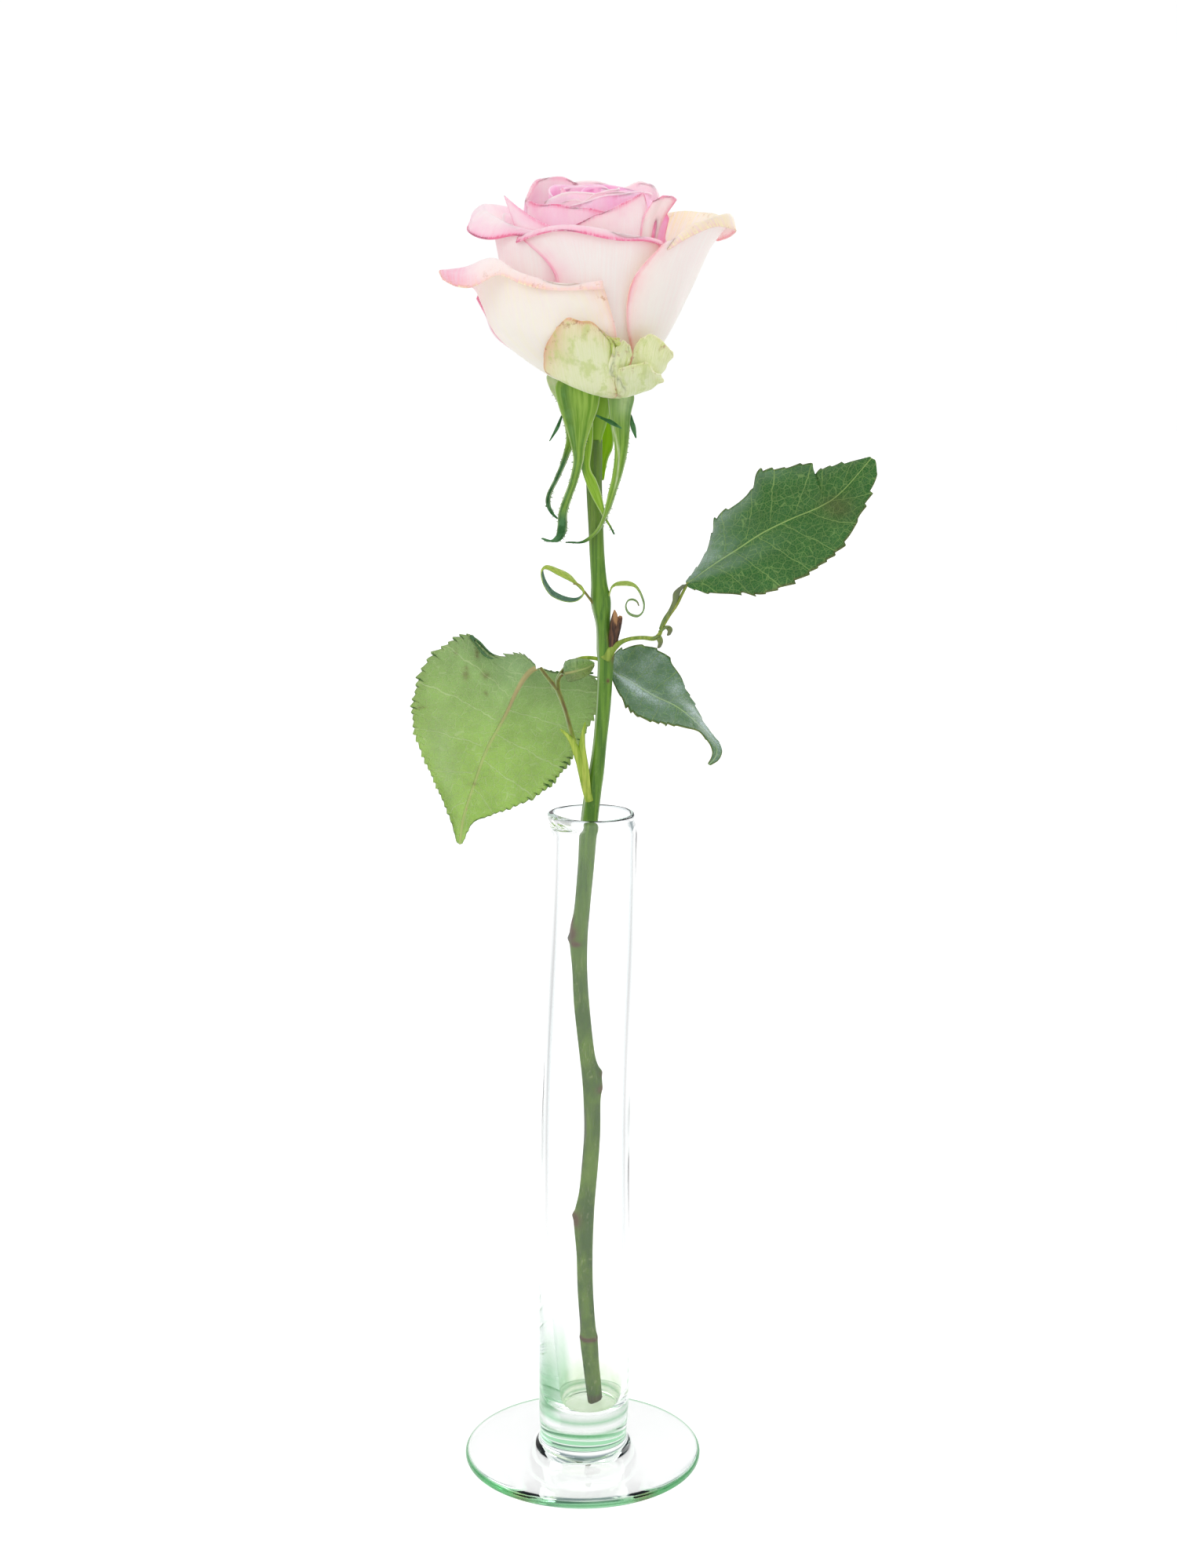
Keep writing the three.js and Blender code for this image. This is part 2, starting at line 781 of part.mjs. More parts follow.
const outerLeft = [
  [[-125, -92, -60, -35, -8, 20], [6, 6.5, 6.5, 6.5, 6.5, 6], 0],
  [[-122, -92, -60, -35, -8, 20], [13.5, 14.2, 14.5, 14.5, 14, 13], [4.5, 3.5, 3.5, 3.5, 3.5, 4.5]],
  [[-118, -90, -60, -35, -10, 15], [25, 27.5, 27.5, 26.5, 25, 23.5], [14, 13.5, 13.5, 13.5, 13.5, 13]],
  [[-108, -88, -62, -38, -14, 10], [31, 32.5, 31, 28.5, 26.3, 24.8], [24, 23, 24, 23, 22, 21.5]],
  [[-84, -76, -59, -42, -22, 5], [43.6, 36.6, 32.5, 29.5, 27.5, 26.2], [32, 33.6, 35.5, 31, 29, 28.5]],
  [[-70, -61, -51, -41, -22, 5], [45.8, 41, 35.5, 31.6, 29, 27.2], [30, 27.5, 31.5, 28.5, 27, 26.8]],
];
const outerRight = [
  [[25, 50, 70, 88, 108, 135], [6, 6.5, 6.5, 6.5, 6.5, 6], 0],
  [[42, 55, 70, 88, 108, 135], [14, 14.5, 14.5, 14.5, 14.5, 13.5], [5, 4.5, 4, 4, 4, 5]],
  [[25, 45, 66, 86, 108, 130], [22.6, 22.6, 22.5, 22.5, 22.5, 22], 16],
  [[22, 44, 65, 84, 102, 122], [26.4, 26.6, 27, 27.5, 27.5, 27], 26.5],
  [[29, 46, 62, 78, 94, 112], [27.8, 28.5, 31, 33.5, 33, 31.5], [33.5, 34, 36, 38, 36.5, 35]],
  [[42, 52, 62, 72, 86, 104], [28.8, 31.5, 36.4, 39.6, 38.4, 35.5], [39, 42.5, 46.6, 46.8, 41.6, 40]],
  [[44, 54, 64, 75, 86, 104], [29.8, 33, 38, 41.4, 39.6, 37], [38, 41.5, 45, 42.6, 39.2, 37.5]],
];
const middleFront = [
  [[-50, -30, -8, 12, 32, 55], 5, 0],
  [[-50, -28, -6, 14, 34, 55], [12, 12.4, 12.4, 12.4, 12.4, 12], 5.5],
  [[-42, -25, -5, 15, 34, 52], [19.5, 20, 20.5, 20.5, 20, 19.5], 15],
  [[-30, -18, -3, 15, 34, 52], [23, 23, 23, 23, 23, 22.5], 24],
  [[-26, -16, -3, 15, 34, 52], [24.3, 24, 24, 24, 23.8, 23.4], [30.2, 31, 32, 32, 32, 32]],
  [[-36, -21, -4, 16, 35, 52], [24.8, 24.3, 24.2, 24.2, 24, 23.7], [36, 37, 38, 37.5, 37, 36.2]],
  [[-56, -28, -5, 15, 34, 51], [25.2, 24.6, 24.3, 24.4, 24.5, 24.4], [41.5, 44, 43.6, 42.6, 41.5, 40]],
  [[-57, -28, -5, 15, 34, 51], [26.3, 25.8, 25.5, 25.6, 25.6, 25.2], [40.2, 42.8, 42.4, 41.4, 40.4, 39]],
];
const middleLeft = [
  [[-130, -108, -88, -68, -50, -30], 5.5, 0],
  [[-130, -108, -88, -68, -50, -30], [12.5, 13, 13, 13, 13, 12.8], [5, 4.6, 4.6, 4.6, 4.6, 5]],
  [[-130, -108, -88, -68, -50, -30], [20.5, 21.5, 22, 22, 22, 21.6], 15],
  [[-128, -106, -88, -70, -50, -28], [24.5, 25.5, 26, 26, 25.8, 24.8], 24],
  [[-127, -105, -88, -72, -52, -25], [26, 27, 27.3, 27.4, 26.8, 25.4], [36, 36, 35.5, 34.5, 33.5, 28.8]],
  [[-128, -106, -90, -72, -54, -34], [28, 30, 30.6, 28.8, 27.2, 25.7], [48, 47, 44.4, 41, 41, 35]],
  [[-128, -108, -92, -74, -56, -35], [31, 34.4, 35.6, 31.2, 28.4, 26.4], [51, 51.6, 48, 41.8, 41.4, 35.4]],
];
const pointed = [
  [[-66, -54, -44, -32, -18], 5, 0],
  [[-66, -54, -44, -32, -18], 12, 7],
  [[-66, -54, -44, -32, -18], 19, 17],
  [[-64, -54, -44, -32, -18], [22, 22, 22, 21.8, 21.6], 27],
  [[-64, -55, -45, -32, -18], [23.4, 23.2, 22.9, 22.5, 22.2], 36],
  [[-65, -56, -46, -32, -18], [24.6, 23.9, 23.4, 22.7, 22.3], [44, 43.5, 42.5, 41.5, 40.5]],
  [[-70, -59, -48, -32, -18], [27, 24.7, 23.7, 22.8, 22.4], [53.2, 49.5, 47, 44.4, 43]],
];
const innerFront = [
  [[-88, -60, -32, -8, 18], 4, 2],
  [[-88, -60, -32, -8, 18], 14, 18],
  [[-88, -60, -32, -8, 18], [18.4, 18.6, 18.6, 18.6, 18.4], 32],
  [[-88, -60, -32, -8, 18], [18.9, 19.8, 20, 20, 19.6], [43, 43, 42.5, 42, 42]],
  [[-88, -60, -32, -8, 18], [18.6, 19.4, 19.4, 19.3, 19.2], [52, 50.6, 50.1, 49, 47.2]],
];
const innerRight = [
  [[-22, 4, 22, 40, 56, 72], 4, 2],
  [[-22, 4, 22, 40, 56, 72], 15, 19],
  [[-22, 4, 22, 40, 54, 66], [19.6, 19.7, 19.7, 19.7, 20, 20.4], 32],
  [[-21, 5, 22, 37, 48, 56], [20.8, 21, 21, 21.2, 22, 23], [40.5, 41.5, 42.5, 43.5, 43.5, 41.5]],
  [[-19, 6, 23, 37, 55, 66], [20.6, 20.8, 20.8, 21, 23.2, 26.4], [44.6, 47.6, 50.6, 53, 52.6, 51.8]],
];
const innerBackLeft = [
  [[-86, -108, -130, -150, -172], 4, 2],
  [[-86, -108, -130, -150, -172], 14.6, 19],
  [[-84, -107, -130, -150, -172], [19.2, 19.3, 19.3, 19.3, 19], 33],
  [[-82, -106, -128, -150, -172], [19.7, 20.2, 20.4, 20.3, 19.8], [46, 47, 48, 48, 47]],
  [[-80, -102, -124, -147, -170], [19.5, 20, 20.3, 20.4, 19.4], [50.5, 53.4, 58.4, 60, 55.4]],
];
const innerBack = [
  [[198, 176, 154, 132, 110, 86], 4, 2],
  [[198, 176, 154, 132, 110, 86], 15, 19],
  [[198, 176, 154, 132, 110, 86], [19.6, 20, 20, 20, 20, 19.8], 33],
  [[198, 176, 154, 132, 110, 86], [20.2, 20.8, 21, 21, 20.8, 20], [48, 48, 48, 48, 46, 42]],
  [[198, 176, 154, 138, 118, 92], [20, 20.9, 21.2, 21.4, 21, 19.8], [58, 59, 58, 59.4, 56.5, 47]],
];
const backRight = [
  [[158, 136, 116, 98, 78], 5.5, 0],
  [[158, 136, 116, 98, 78], [13, 13.4, 13.4, 13.4, 13], 5],
  [[158, 136, 116, 98, 78], [21, 21.5, 21.5, 21.5, 21], 15.5],
  [[156, 136, 116, 98, 78], [25, 25.5, 26, 26, 25.5], 26],
  [[154, 136, 116, 98, 80], [27.5, 28.5, 30, 30, 28.5], [38, 38.5, 38.5, 38, 37]],
  [[152, 134, 118, 102, 84], [29.5, 32.5, 38, 37, 32], [48, 49.5, 49, 46, 42]],
];

// Petals at the back follow one rule: middle angle, half span, widest radius, rim height and flare
function hiddenPetal(middle, half, radius, top, flare) {
  const spans = [-1, -0.6, -0.2, 0.2, 0.6, 1];
  const profile = [
    [0.2, 0, 0.9],
    [0.5, 0.16, 1],
    [0.82, 0.4, 1],
    [0.98, 0.66, 0.97],
    [1 + 0.5 * flare, 0.88, 0.9],
    [1 + flare, 1, 0.82],
    [1.04 + flare, 0.97, 0.8],
  ];
  return profile.map(([reach, rise, open]) =>
    spans.map((s) => {
      const wave = rise ** 3 * Math.sin(4 * s + middle);
      const drop = rise * rise * 4 * s * s - 1.2 * wave;
      const out = radius * (reach + 0.035 * wave);
      return [middle + s * half * open, out, BLOOM_BASE + (top - BLOOM_BASE) * rise - drop];
    }),
  );
}
const hiddenPetals = [
  [[-145, 46, 31.5, 374, 0.2], 6, 7],
  [[172, 44, 31, 378, 0.22], 6, 7],
  [[-120, 44, 23.6, 386, 0.1], 5, 5],
  [[150, 42, 23.8, 388, 0.12], 5, 5],
];

// The tight centre turns by the golden angle from layer to layer
const CENTRE_LAYERS = 8;
const GOLDEN = 137.5;

function centrePetal(layer) {
  const radius = 16.6 - 1.75 * layer;
  const middle = 60 + GOLDEN * layer;
  const half = 82 + 4 * layer;
  const top = 392.5 + 1.2 * Math.sin(1.7 * layer);
  const spans = [-1, -0.5, 0, 0.5, 1];
  const profile = [
    [0.7, 0],
    [0.95, 0.4],
    [1, 0.75],
    [0.97 + 0.05 * Math.sin(2.1 * layer), 1],
  ];
  return profile.map(([reach, rise]) =>
    spans.map((s) => {
      const spiral = radius * (1 - 0.12 * s);
      const drop = 3.4 * rise * s * s;
      return [middle + s * half, spiral * reach, 352 + (top - 352) * rise - drop];
    }),
  );
}

// Guard petals hug the foot of the bloom at the front
const guardLeft = [
  [[-45, -30, -12, 3, 18], 9.5, 0.2],
  [[-43, -29, -12, 3, 18], [17, 17.3, 17.3, 17, 16], [3.6, 3, 2.8, 2.6, 2.2]],
  [[-36, -25, -12, 0, 12], [23.6, 25.2, 26, 25.5, 24.4], [8.4, 8.6, 8.6, 8, 7.2]],
  [[-28, -21, -12, -4, 6], [27.2, 28, 28.3, 28, 27.3], [14, 15, 15.4, 15, 12.6]],
  [[-22, -18, -12, -5, 3], [28.6, 28.8, 28.9, 28.7, 28], [16.2, 18.2, 19.2, 18.2, 14.8]],
];
const guardRight = [
  [[12, 30, 48, 64, 82], 9.5, [0, 0, 0, 0, 0.2]],
  [[13, 30, 48, 62, 79], [15, 15, 15, 19, 19.6], [1.8, 1, 0.6, 0.8, 3.4]],
  [[13, 30, 47, 63, 78], [20, 20.6, 21, 22.6, 21.8], [5.2, 3.8, 3, 3.8, 7.6]],
  [[12, 26, 40, 55, 69], [23.8, 24.4, 25.6, 26, 25], [9.6, 10.2, 11.4, 10, 9]],
  [[18, 29, 41, 55, 67], [25, 25.8, 26.6, 27, 26.4], [12.2, 14.2, 15, 11.6, 8.4]],
];

function petalPoint(rows, u, v) {
  const [angle, radius, z] = spline(rows.map((row) => spline(row, u)), v);
  const turn = (angle * Math.PI) / 180;
  return [BLOOM_X + radius * Math.sin(turn), -radius * Math.cos(turn), z];
}

function petal(rows, columns, steps, thickness) {
  return sheet((u, v) => petalPoint(rows, u, v), columns, steps, thickness);
}

function bloomSolids(extra) {
  const thick = PETAL_THICK + 2 * extra;
  const shaped = [
    [outerLeft, 10, 9],
    [outerRight, 9, 9],
    [middleFront, 7, 8],
    [middleLeft, 8, 8],
    [pointed, 4, 6],
    [innerFront, 5, 4],
    [innerRight, 6, 5],
    [innerBackLeft, 5, 4],
    [innerBack, 6, 4],
    [backRight, 5, 6],
  ].map(([lists, columns, steps]) => petal(petalRows(lists), columns, steps, thick));
  const hidden = hiddenPetals.map(([rule, columns, steps]) =>
    petal(hiddenPetal(...rule), columns, steps, thick),
  );
  const centre = [];
  for (let layer = 0; layer < CENTRE_LAYERS; layer++) centre.push(petal(centrePetal(layer), 6, 3, thick));
  // A smaller core inside the head carries the petals
  const core = rod(
    [
      [BLOOM_X, 0, BLOOM_BASE - 0.6 - extra, 5.6],
      [BLOOM_X, 0, 344, 10],
      [BLOOM_X, 0, 352, 12.6],
      [BLOOM_X, 0, 364, 13.6],
      [BLOOM_X, 0, 378, 12],
      [BLOOM_X, 0, 386, 5],
    ],
    16,
    8,
    extra,
  );
  return [core, ...shaped, ...hidden, ...centre];
}

function guards(extra) {
  const thick = GUARD_THICK + 2 * extra;
  return petal(petalRows(guardLeft), 6, 6, thick).add(petal(petalRows(guardRight), 7, 6, thick));
}

// Assembly
const part = new THREE.Group();

function addNode(name, solid, color, look = {}) {
  const mesh = solid.getMesh();
  const stride = mesh.numProp;
  const positions = new Float32Array(mesh.numVert * 3);
  for (let k = 0; k < mesh.numVert; k++) {
    positions.set(mesh.vertProperties.subarray(k * stride, k * stride + 3), k * 3);
  }
  const geometry = new THREE.BufferGeometry();
  geometry.setAttribute("position", new THREE.BufferAttribute(positions, 3));
  geometry.setIndex(new THREE.BufferAttribute(mesh.triVerts, 1));
  geometry.computeVertexNormals();
  const node = new THREE.Mesh(geometry, new THREE.MeshStandardMaterial({ color, roughness: 0.6, ...look }));
  node.name = name;
  part.add(node);
}

const wideStem = stem(GAP);
const wideUpperStalk = upperStalk(GAP);
const wideLowerStalk = lowerStalk(GAP);
const bloom = largest(union(bloomSolids(0)));
const wideBloom = union(bloomSolids(GAP));
const guard = clearOf(guards(0), [wideBloom]);
const wideGuard = guards(GAP);

addNode("vase", vase(), GLASS, { roughness: 0.05, transparent: true, opacity: 0.35 });
addNode("stem", stem(), STEM_GREEN);
addNode("cut_shoot_stub", clearOf(stub(), [wideStem, wideUpperStalk]), BARK_BROWN);
addNode("bract_left", clearOf(ribbon(bractLeft, bractSide, 30, RIBBON_THICK), [wideStem]), RIBBON_GREEN);
addNode("bract_right", clearOf(ribbon(bractRight, bractSide, 30, RIBBON_THICK), [wideStem]), RIBBON_GREEN);
addNode("upper_leaf_stalk", clearOf(upperStalk(), [wideStem]), STALK_OLIVE);
addNode("upper_leaf_blade", clearOf(leaf(upperLeaf), [wideUpperStalk]), LEAF_GREEN);
addNode("lower_leaf_stalk", clearOf(lowerStalk(), [wideStem]), STALK_OLIVE);
addNode("large_leaflet_blade", clearOf(leaf(largeLeaf), [wideLowerStalk, wideStem]), UNDERLEAF_GREEN);
addNode("small_leaflet_blade", clearOf(leaf(smallLeaf), [wideLowerStalk, wideStem]), LEAF_GREEN);
addNode("right_leaflet_blade", clearOf(leaf(rightLeaf), [wideLowerStalk, wideStem]), LEAF_GREEN);
addNode("calyx", clearOf(calyx(), [wideStem, wideGuard, wideBloom]), SEPAL_GREEN);
addNode("guard_petals", guard, GUARD_CREAM);
addNode("bloom_petals", bloom, PETAL_PINK);

export default part;
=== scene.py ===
"""Looks of a cut rose in a slim glass bud vase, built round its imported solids.

Control points are in millimetres and become metres in each mesh. +Z is up and the viewer is at -Y.
"""
import math

import bpy
import numpy as np
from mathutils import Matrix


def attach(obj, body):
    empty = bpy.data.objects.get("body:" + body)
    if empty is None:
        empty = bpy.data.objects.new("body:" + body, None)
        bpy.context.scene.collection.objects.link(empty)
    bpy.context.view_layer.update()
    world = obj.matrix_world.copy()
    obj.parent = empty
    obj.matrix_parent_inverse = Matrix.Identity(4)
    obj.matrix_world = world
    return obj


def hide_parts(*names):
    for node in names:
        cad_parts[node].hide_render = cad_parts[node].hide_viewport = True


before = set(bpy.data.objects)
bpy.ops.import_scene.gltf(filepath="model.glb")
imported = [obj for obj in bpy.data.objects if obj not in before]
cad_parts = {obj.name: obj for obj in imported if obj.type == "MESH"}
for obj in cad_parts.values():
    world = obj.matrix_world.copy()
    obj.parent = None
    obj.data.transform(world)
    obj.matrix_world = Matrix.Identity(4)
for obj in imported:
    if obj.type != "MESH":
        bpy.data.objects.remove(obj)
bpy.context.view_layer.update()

MM = 0.001
BODY = "root"
FULL_TURN = 2 * math.pi

# Camera: fitted to the vase's foot and rim
IMAGE_LONG_SIDE = 1998
FOCAL_PIXELS = 3050
SENSOR_LONG_SIDE = 36
CAMERA_PLACE = (0.00188, -0.7091, 0.3624)
CAMERA_PITCH_DOWN = 11.45
CAMERA_RANGE = (0.01, 20)

# Floor and light
FLOOR_Z = -0.0004
FLOOR_HALF = 6
FLOOR_TONE = (0.3, 0.302, 0.305, 1)
WHITE = (1, 1, 1, 1)
FLOOR_GLOW = 0.9
FLOOR_LIGHT = 0.4
BACK_GLOW = 1.02
DARK_WAY = 0.55
GLASS_BOUNCES = 32
# Each light: name, place, target, size and power, in metres and watts
AREA_LIGHTS = [
    ("key", (-0.7, -0.9, 1.0), (0, 0, 0.28), 0.7, 2.0),
    ("back_right", (0.7, 0.8, 0.7), (0, 0, 0.3), 0.6, 2.6),
]

# Light inside a petal, as weight, radius and scale, and inside the green pieces, as radius and scale
PETAL_SCATTER = (0.9, (1.0, 0.9, 0.95), 0.0012)
GREEN_SCATTER = ((0.5, 1.0, 0.2), 0.001)
# Painted glow: petals give off light in their own colour, standing in for the light that passes through them
PAINTED_PETAL_GLOW = 0.1

# Vase, in millimetres. A pair is where a change starts and where it is complete
VASE_SEGMENTS = 192
GLASS_IOR = 1.5
GLASS_TINT = "A8E8BE"
GLASS_DENSITY = 1.5
LIP_SAG = 1.1
LIP_FLARE = 0.1
LIP_RISE = (202.5, 209)
# Heights where the painted gray shade along the lip's top edge starts and is complete
LIP_SHADE_RISE = (209, 209.8)
DRIP_RISE = (205.6, 207.6)
BUMP_RISE = (205.5, 207.5)
DRIP_BULGE = 0.5
DRIP_INWARD = 1.6
DRIP_BUMPS = 0.15
DRIP_TURN_RADIANS = -2.55
DRIP_SPREAD_RADIANS = 0.6
WALL_WOBBLE = 0.12
WOBBLE_RISE = (25, 60)
CAVITY_SHIFT = 1.4
CAVITY_BEND = (20, 70)
STAIN_FADE = (32, 20)
STAIN_RADIUS = (5, 10)
FOOT_RIM = (36, 37.2)
FOOT_EDGE = (36, 36.8)
# Painted dark reflections on the foot's edge: their sides and half width in degrees
FOOT_REFLECTIONS_DEGREES = (239, 301)
REFLECTION_SPREAD_DEGREES = 6
THICK_BANDS = ((17.6, 1.1), (12.9, 0.9))
BAND_WIDTH = 1.1
# Green down the left wall, partly from its thicker glass and partly painted shade: heights where it fades in
# and out
GREEN_WALL_FOOT = (15, 19)
GREEN_WALL_TOP = (54, 24)
# Heights where the painted shade on the tube's edges fades in and out
TUBE_FOOT = (24, 36)
TUBE_TOP = (208, 203)

# Stem and stalks, in millimetres
STEM_SIDES = 40
STEM_STEPS = 900
CUT_HEIGHT = 17.7
CUT_SLANT_RADIANS = -0.4
CUT_BROWN = (21, 19)
STEM_FADE = (120, 235)
STEM_TOP_BROWN = (284, 296)
# Painted highlight down the left of the upper stem: its side and spread in degrees, and the heights where it
# fades in and out
HIGHLIGHT_DEGREES = -64
HIGHLIGHT_SPREAD_DEGREES = 10
HIGHLIGHT_FOOT = (196, 212)
HIGHLIGHT_TOP = (300, 262)
STALK_BROWN = (229, 236)
STUB_CUT_SLOPE = 1.6
STUB_CUT_X = 9.6
STUB_CUT_SIDE = (9, 9.4)
STUB_TIP_DEPTH = (0.7, 0.1)
STUB_CUT_DEPTH = (4, 3.2)
BRACT_SIDE = (0.25, 1, 0.5)
HOOK_SIDE = (1, -0.5, 0.35)

# Leaves, in millimetres, but along the blade from 0 to 1
LEAF_START = 0.012
LEAF_END = 0.985
LEAF_SEED = 7
SAW_RISE = 0.78
SAW_FALL = 0.22
QUILT_HEIGHT = 0.28
GROOVE_DEPTH = 0.35
MARGIN_SIDE = (0.55, -0.2, 0.8)

# Thickness of each kind of sheet, in millimetres
PETAL_THICK = 0.42
GUARD_THICK = 0.5
LEAF_THICK = 0.46
SEPAL_THICK = 0.4
SIDE_TIP_THICK = 0.3
RIBBON_THICK = 0.6
BRACT_THICK = 0.35
RIBBON_COLUMNS = 6

# Sepals, in millimetres, but the bristles' places along the sepal
SEPAL_COLUMNS = 18
SEPAL_STEPS = 110
SEPAL_FOLD = 0.18
SEPAL_WAVE = 0.1
MARGIN_WIDTH = 0.18
BRISTLES_END = 0.97
BRISTLE_LENGTH = (0.35, 0.85)

# Bloom, in millimetres and degrees
BLOOM_X = 3.5
BLOOM_BASE = 338
NO_ROLL = (0, 0)
NO_FLUSH = (0, 0)
OUTER_FLUSH = (0.2, 0.5)
GUARD_FLUSH = (0.75, 0)
GUARD_STEPS = 44
HIDDEN_DROP = 8
HIDDEN_ROUND = 2
HIDDEN_WAVE = 1.2
HIDDEN_ROLL = (1.6, 75)
HIDDEN_INNER_FACE = (0.1, 0.3, 0.5)
HIDDEN_SWAY = 0.9
HIDDEN_SIDES = (0.6, 0.6)
CENTRE_LAYERS = 8
CENTRE_RADIUS = 16.6
CENTRE_STEP = 1.75
CENTRE_FOOT = 352
CENTRE_TOP = 392.5
CENTRE_TURN = 60
CENTRE_HALF = 82
CENTRE_WRAP = 4
CENTRE_ROLL = (0.7, 60)
CENTRE_SIZE = (36, 22)
CENTRE_SWAY = 0.65
CENTRE_SIDES = (0.5, 0.5)
GOLDEN_TURN = 137.5
HIDDEN_SEED = 20
CENTRE_SEED = 30
FINE_WAVE_SEED = 50
GUARD_SEED = 61

# Control points in millimetres
VASE_OUTSIDE = [
    (0, 0), (35, 0), (37.2, 0.5), (37.5, 1.4), (37.3, 2.4), (36.3, 3), (33, 3.3), (26, 3.7), (18, 4.3),
    (15.4, 4.8), (14.2, 5.8), (13.8, 7.4), (13.8, 9.4), (14, 12), (14.3, 16), (14.3, 60), (13.9, 110),
    (13.4, 155), (13, 195), (13, 206), (13.1, 207.6), (13.2, 208.9), (12.95, 209.7), (12.4, 210),
]
VASE_INSIDE = [
    (11.9, 209.8), (11.5, 209.1), (11.4, 208), (11.5, 205.4), (11.4, 195), (11.6, 155), (12, 110),
    (12.1, 75), (11.9, 55), (11.4, 42), (10.9, 32), (10.5, 26), (10.2, 22), (9.7, 19.6), (8.6, 18.1),
    (6.6, 17.4), (0, 17.2),
]
TUBE_MIDDLE = [
    (0, 0), (20, 0.4), (70, 0.6), (110, 1), (155, 2.5), (204, 3.8),
]
STEM_LINE = [
    (3.2, 1.5, 16.6, 2.4), (2.6, 2, 23, 2.6), (2, 2.5, 30, 2.7), (1.6, 2.5, 37.5, 2.95),
    (1.4, 2.5, 43, 2.6), (1, 2, 55, 2.55), (0.9, 2, 67, 2.6), (0.6, 1.8, 79, 3.1), (1.6, 1.5, 88, 2.5),
    (2.3, 1.3, 97, 2.4), (2.9, 1, 108, 2.4), (2.8, 1, 118, 2.6), (2.8, 0.8, 125.5, 3.1),
    (1.3, 0.5, 133, 2.4), (-0.4, 0, 149, 2.4), (-1, 0, 161, 2.4), (-1.2, 0, 171.5, 2.9),
    (0, 0, 180, 2.5), (1.3, 0, 193.5, 2.45), (2.1, 0, 206.5, 2.55), (3.3, 0, 216.5, 2.5),
    (4.3, 0, 222.5, 2.3), (5.4, 0, 232, 2.05), (6.4, 0, 243, 2.2), (7, 0, 255, 2.3), (7, 0, 259.5, 2.6),
    (6.3, 0, 267, 2.15), (5.6, 0, 274, 3), (5, 0, 280, 2.4), (4.4, 0, 288, 2.2), (4, 0, 297, 2.2),
    (3.5, 0, 309, 2.3), (3.5, 0, 322, 2.4),
]
# Each scar: height, side in degrees, half height, half width in degrees, and swelling
STEM_SCARS = [
    (172.5, -50, 2.2, 34, 0.15), (170.6, -95, 1.2, 24, 0.9), (175.5, -70, 2.4, 16, 0.2),
    (169.4, -20, 0.8, 34, 0.1), (127.2, 85, 1, 24, 0.7), (122.6, 70, 1.3, 40, 0.3), (79.3, -60, 2.4, 40, 0.2),
    (80.2, -95, 1.1, 24, 0.8), (38.9, 0, 0.7, 400, 0.25), (250.6, 25, 0.6, 12, 0), (258.6, 60, 2.6, 22, 0),
    (262.5, 45, 2.2, 22, 0),
]
STEM_STREAKS = [
    (110, -62, 6, 14), (98, -75, 4, 10), (171.5, -85, 1.5, 20), (45, -70, 3, 12),
]
STUB_PRONGS = [
    [
        (8.9, -1.6, 260.2, 1.25), (9.2, -1.8, 264.6, 1.2), (9.5, -2, 268, 1.15), (9.7, -2.1, 270.4, 0.8),
        (9.6, -2.1, 272, 0.15),
    ],
    [(8.9, -1.6, 260.2, 1.25), (9.9, -1.8, 265, 1.2), (11.2, -2, 269.2, 0.75), (11.4, -2, 270.2, 0.4)],
]
BRACT_LEFT = [
    (3.1, -1.4, 274, 0.45), (2, -2, 275.6, 0.45), (0.8, -2.4, 277.2, 0.45), (-0.45, -2.8, 278.6, 0.45),
    (-1.9, -3.1, 280.1, 0.6), (-3.35, -3.3, 281.4, 1.2), (-5.1, -3.5, 282.5, 1.5), (-7.4, -3.8, 283.6, 1.35),
    (-9.4, -4.2, 284.6, 1.05), (-10.9, -4.6, 284.9, 0.9), (-11.7, -5, 284, 0.9), (-11.6, -5.1, 282.3, 1.1),
    (-10.8, -5.2, 280, 1.25), (-9.1, -5.2, 277.6, 1.3), (-6.8, -5.2, 276.2, 1.25), (-4.2, -5.2, 275.4, 1.1),
    (-1.9, -5.2, 275.4, 0.9), (-0.3, -5.2, 276.3, 0.7), (0.4, -5.2, 277.6, 0.6), (-0.2, -5.2, 279, 0.5),
    (-1.3, -5.2, 279.9, 0.4), (-2.5, -5.2, 280.1, 0.2),
]
BRACT_RIGHT = [
    (7.9, -0.9, 275.6, 0.5), (8.1, -1.2, 277, 0.5), (8.7, -1.5, 278.6, 0.7), (10, -1.9, 279.6, 0.9),
    (12, -2.2, 279.9, 1.1), (14, -2.4, 279.8, 1), (15.8, -2.6, 279.1, 0.6), (17, -2.8, 277.6, 0.5),
    (17.9, -3, 275.6, 0.5), (18.4, -3.1, 273.6, 0.5), (18.1, -3.2, 271.6, 0.5), (16.7, -3.2, 270.3, 0.45),
    (14.9, -3.2, 270.5, 0.45), (13.5, -3.2, 271.5, 0.4), (12.9, -3.2, 273.3, 0.4), (13.6, -3.2, 274.9, 0.35),
    (15.1, -3.2, 275.2, 0.3), (16.3, -3.2, 274.5, 0.25), (16.8, -3.2, 273.4, 0.15),
]
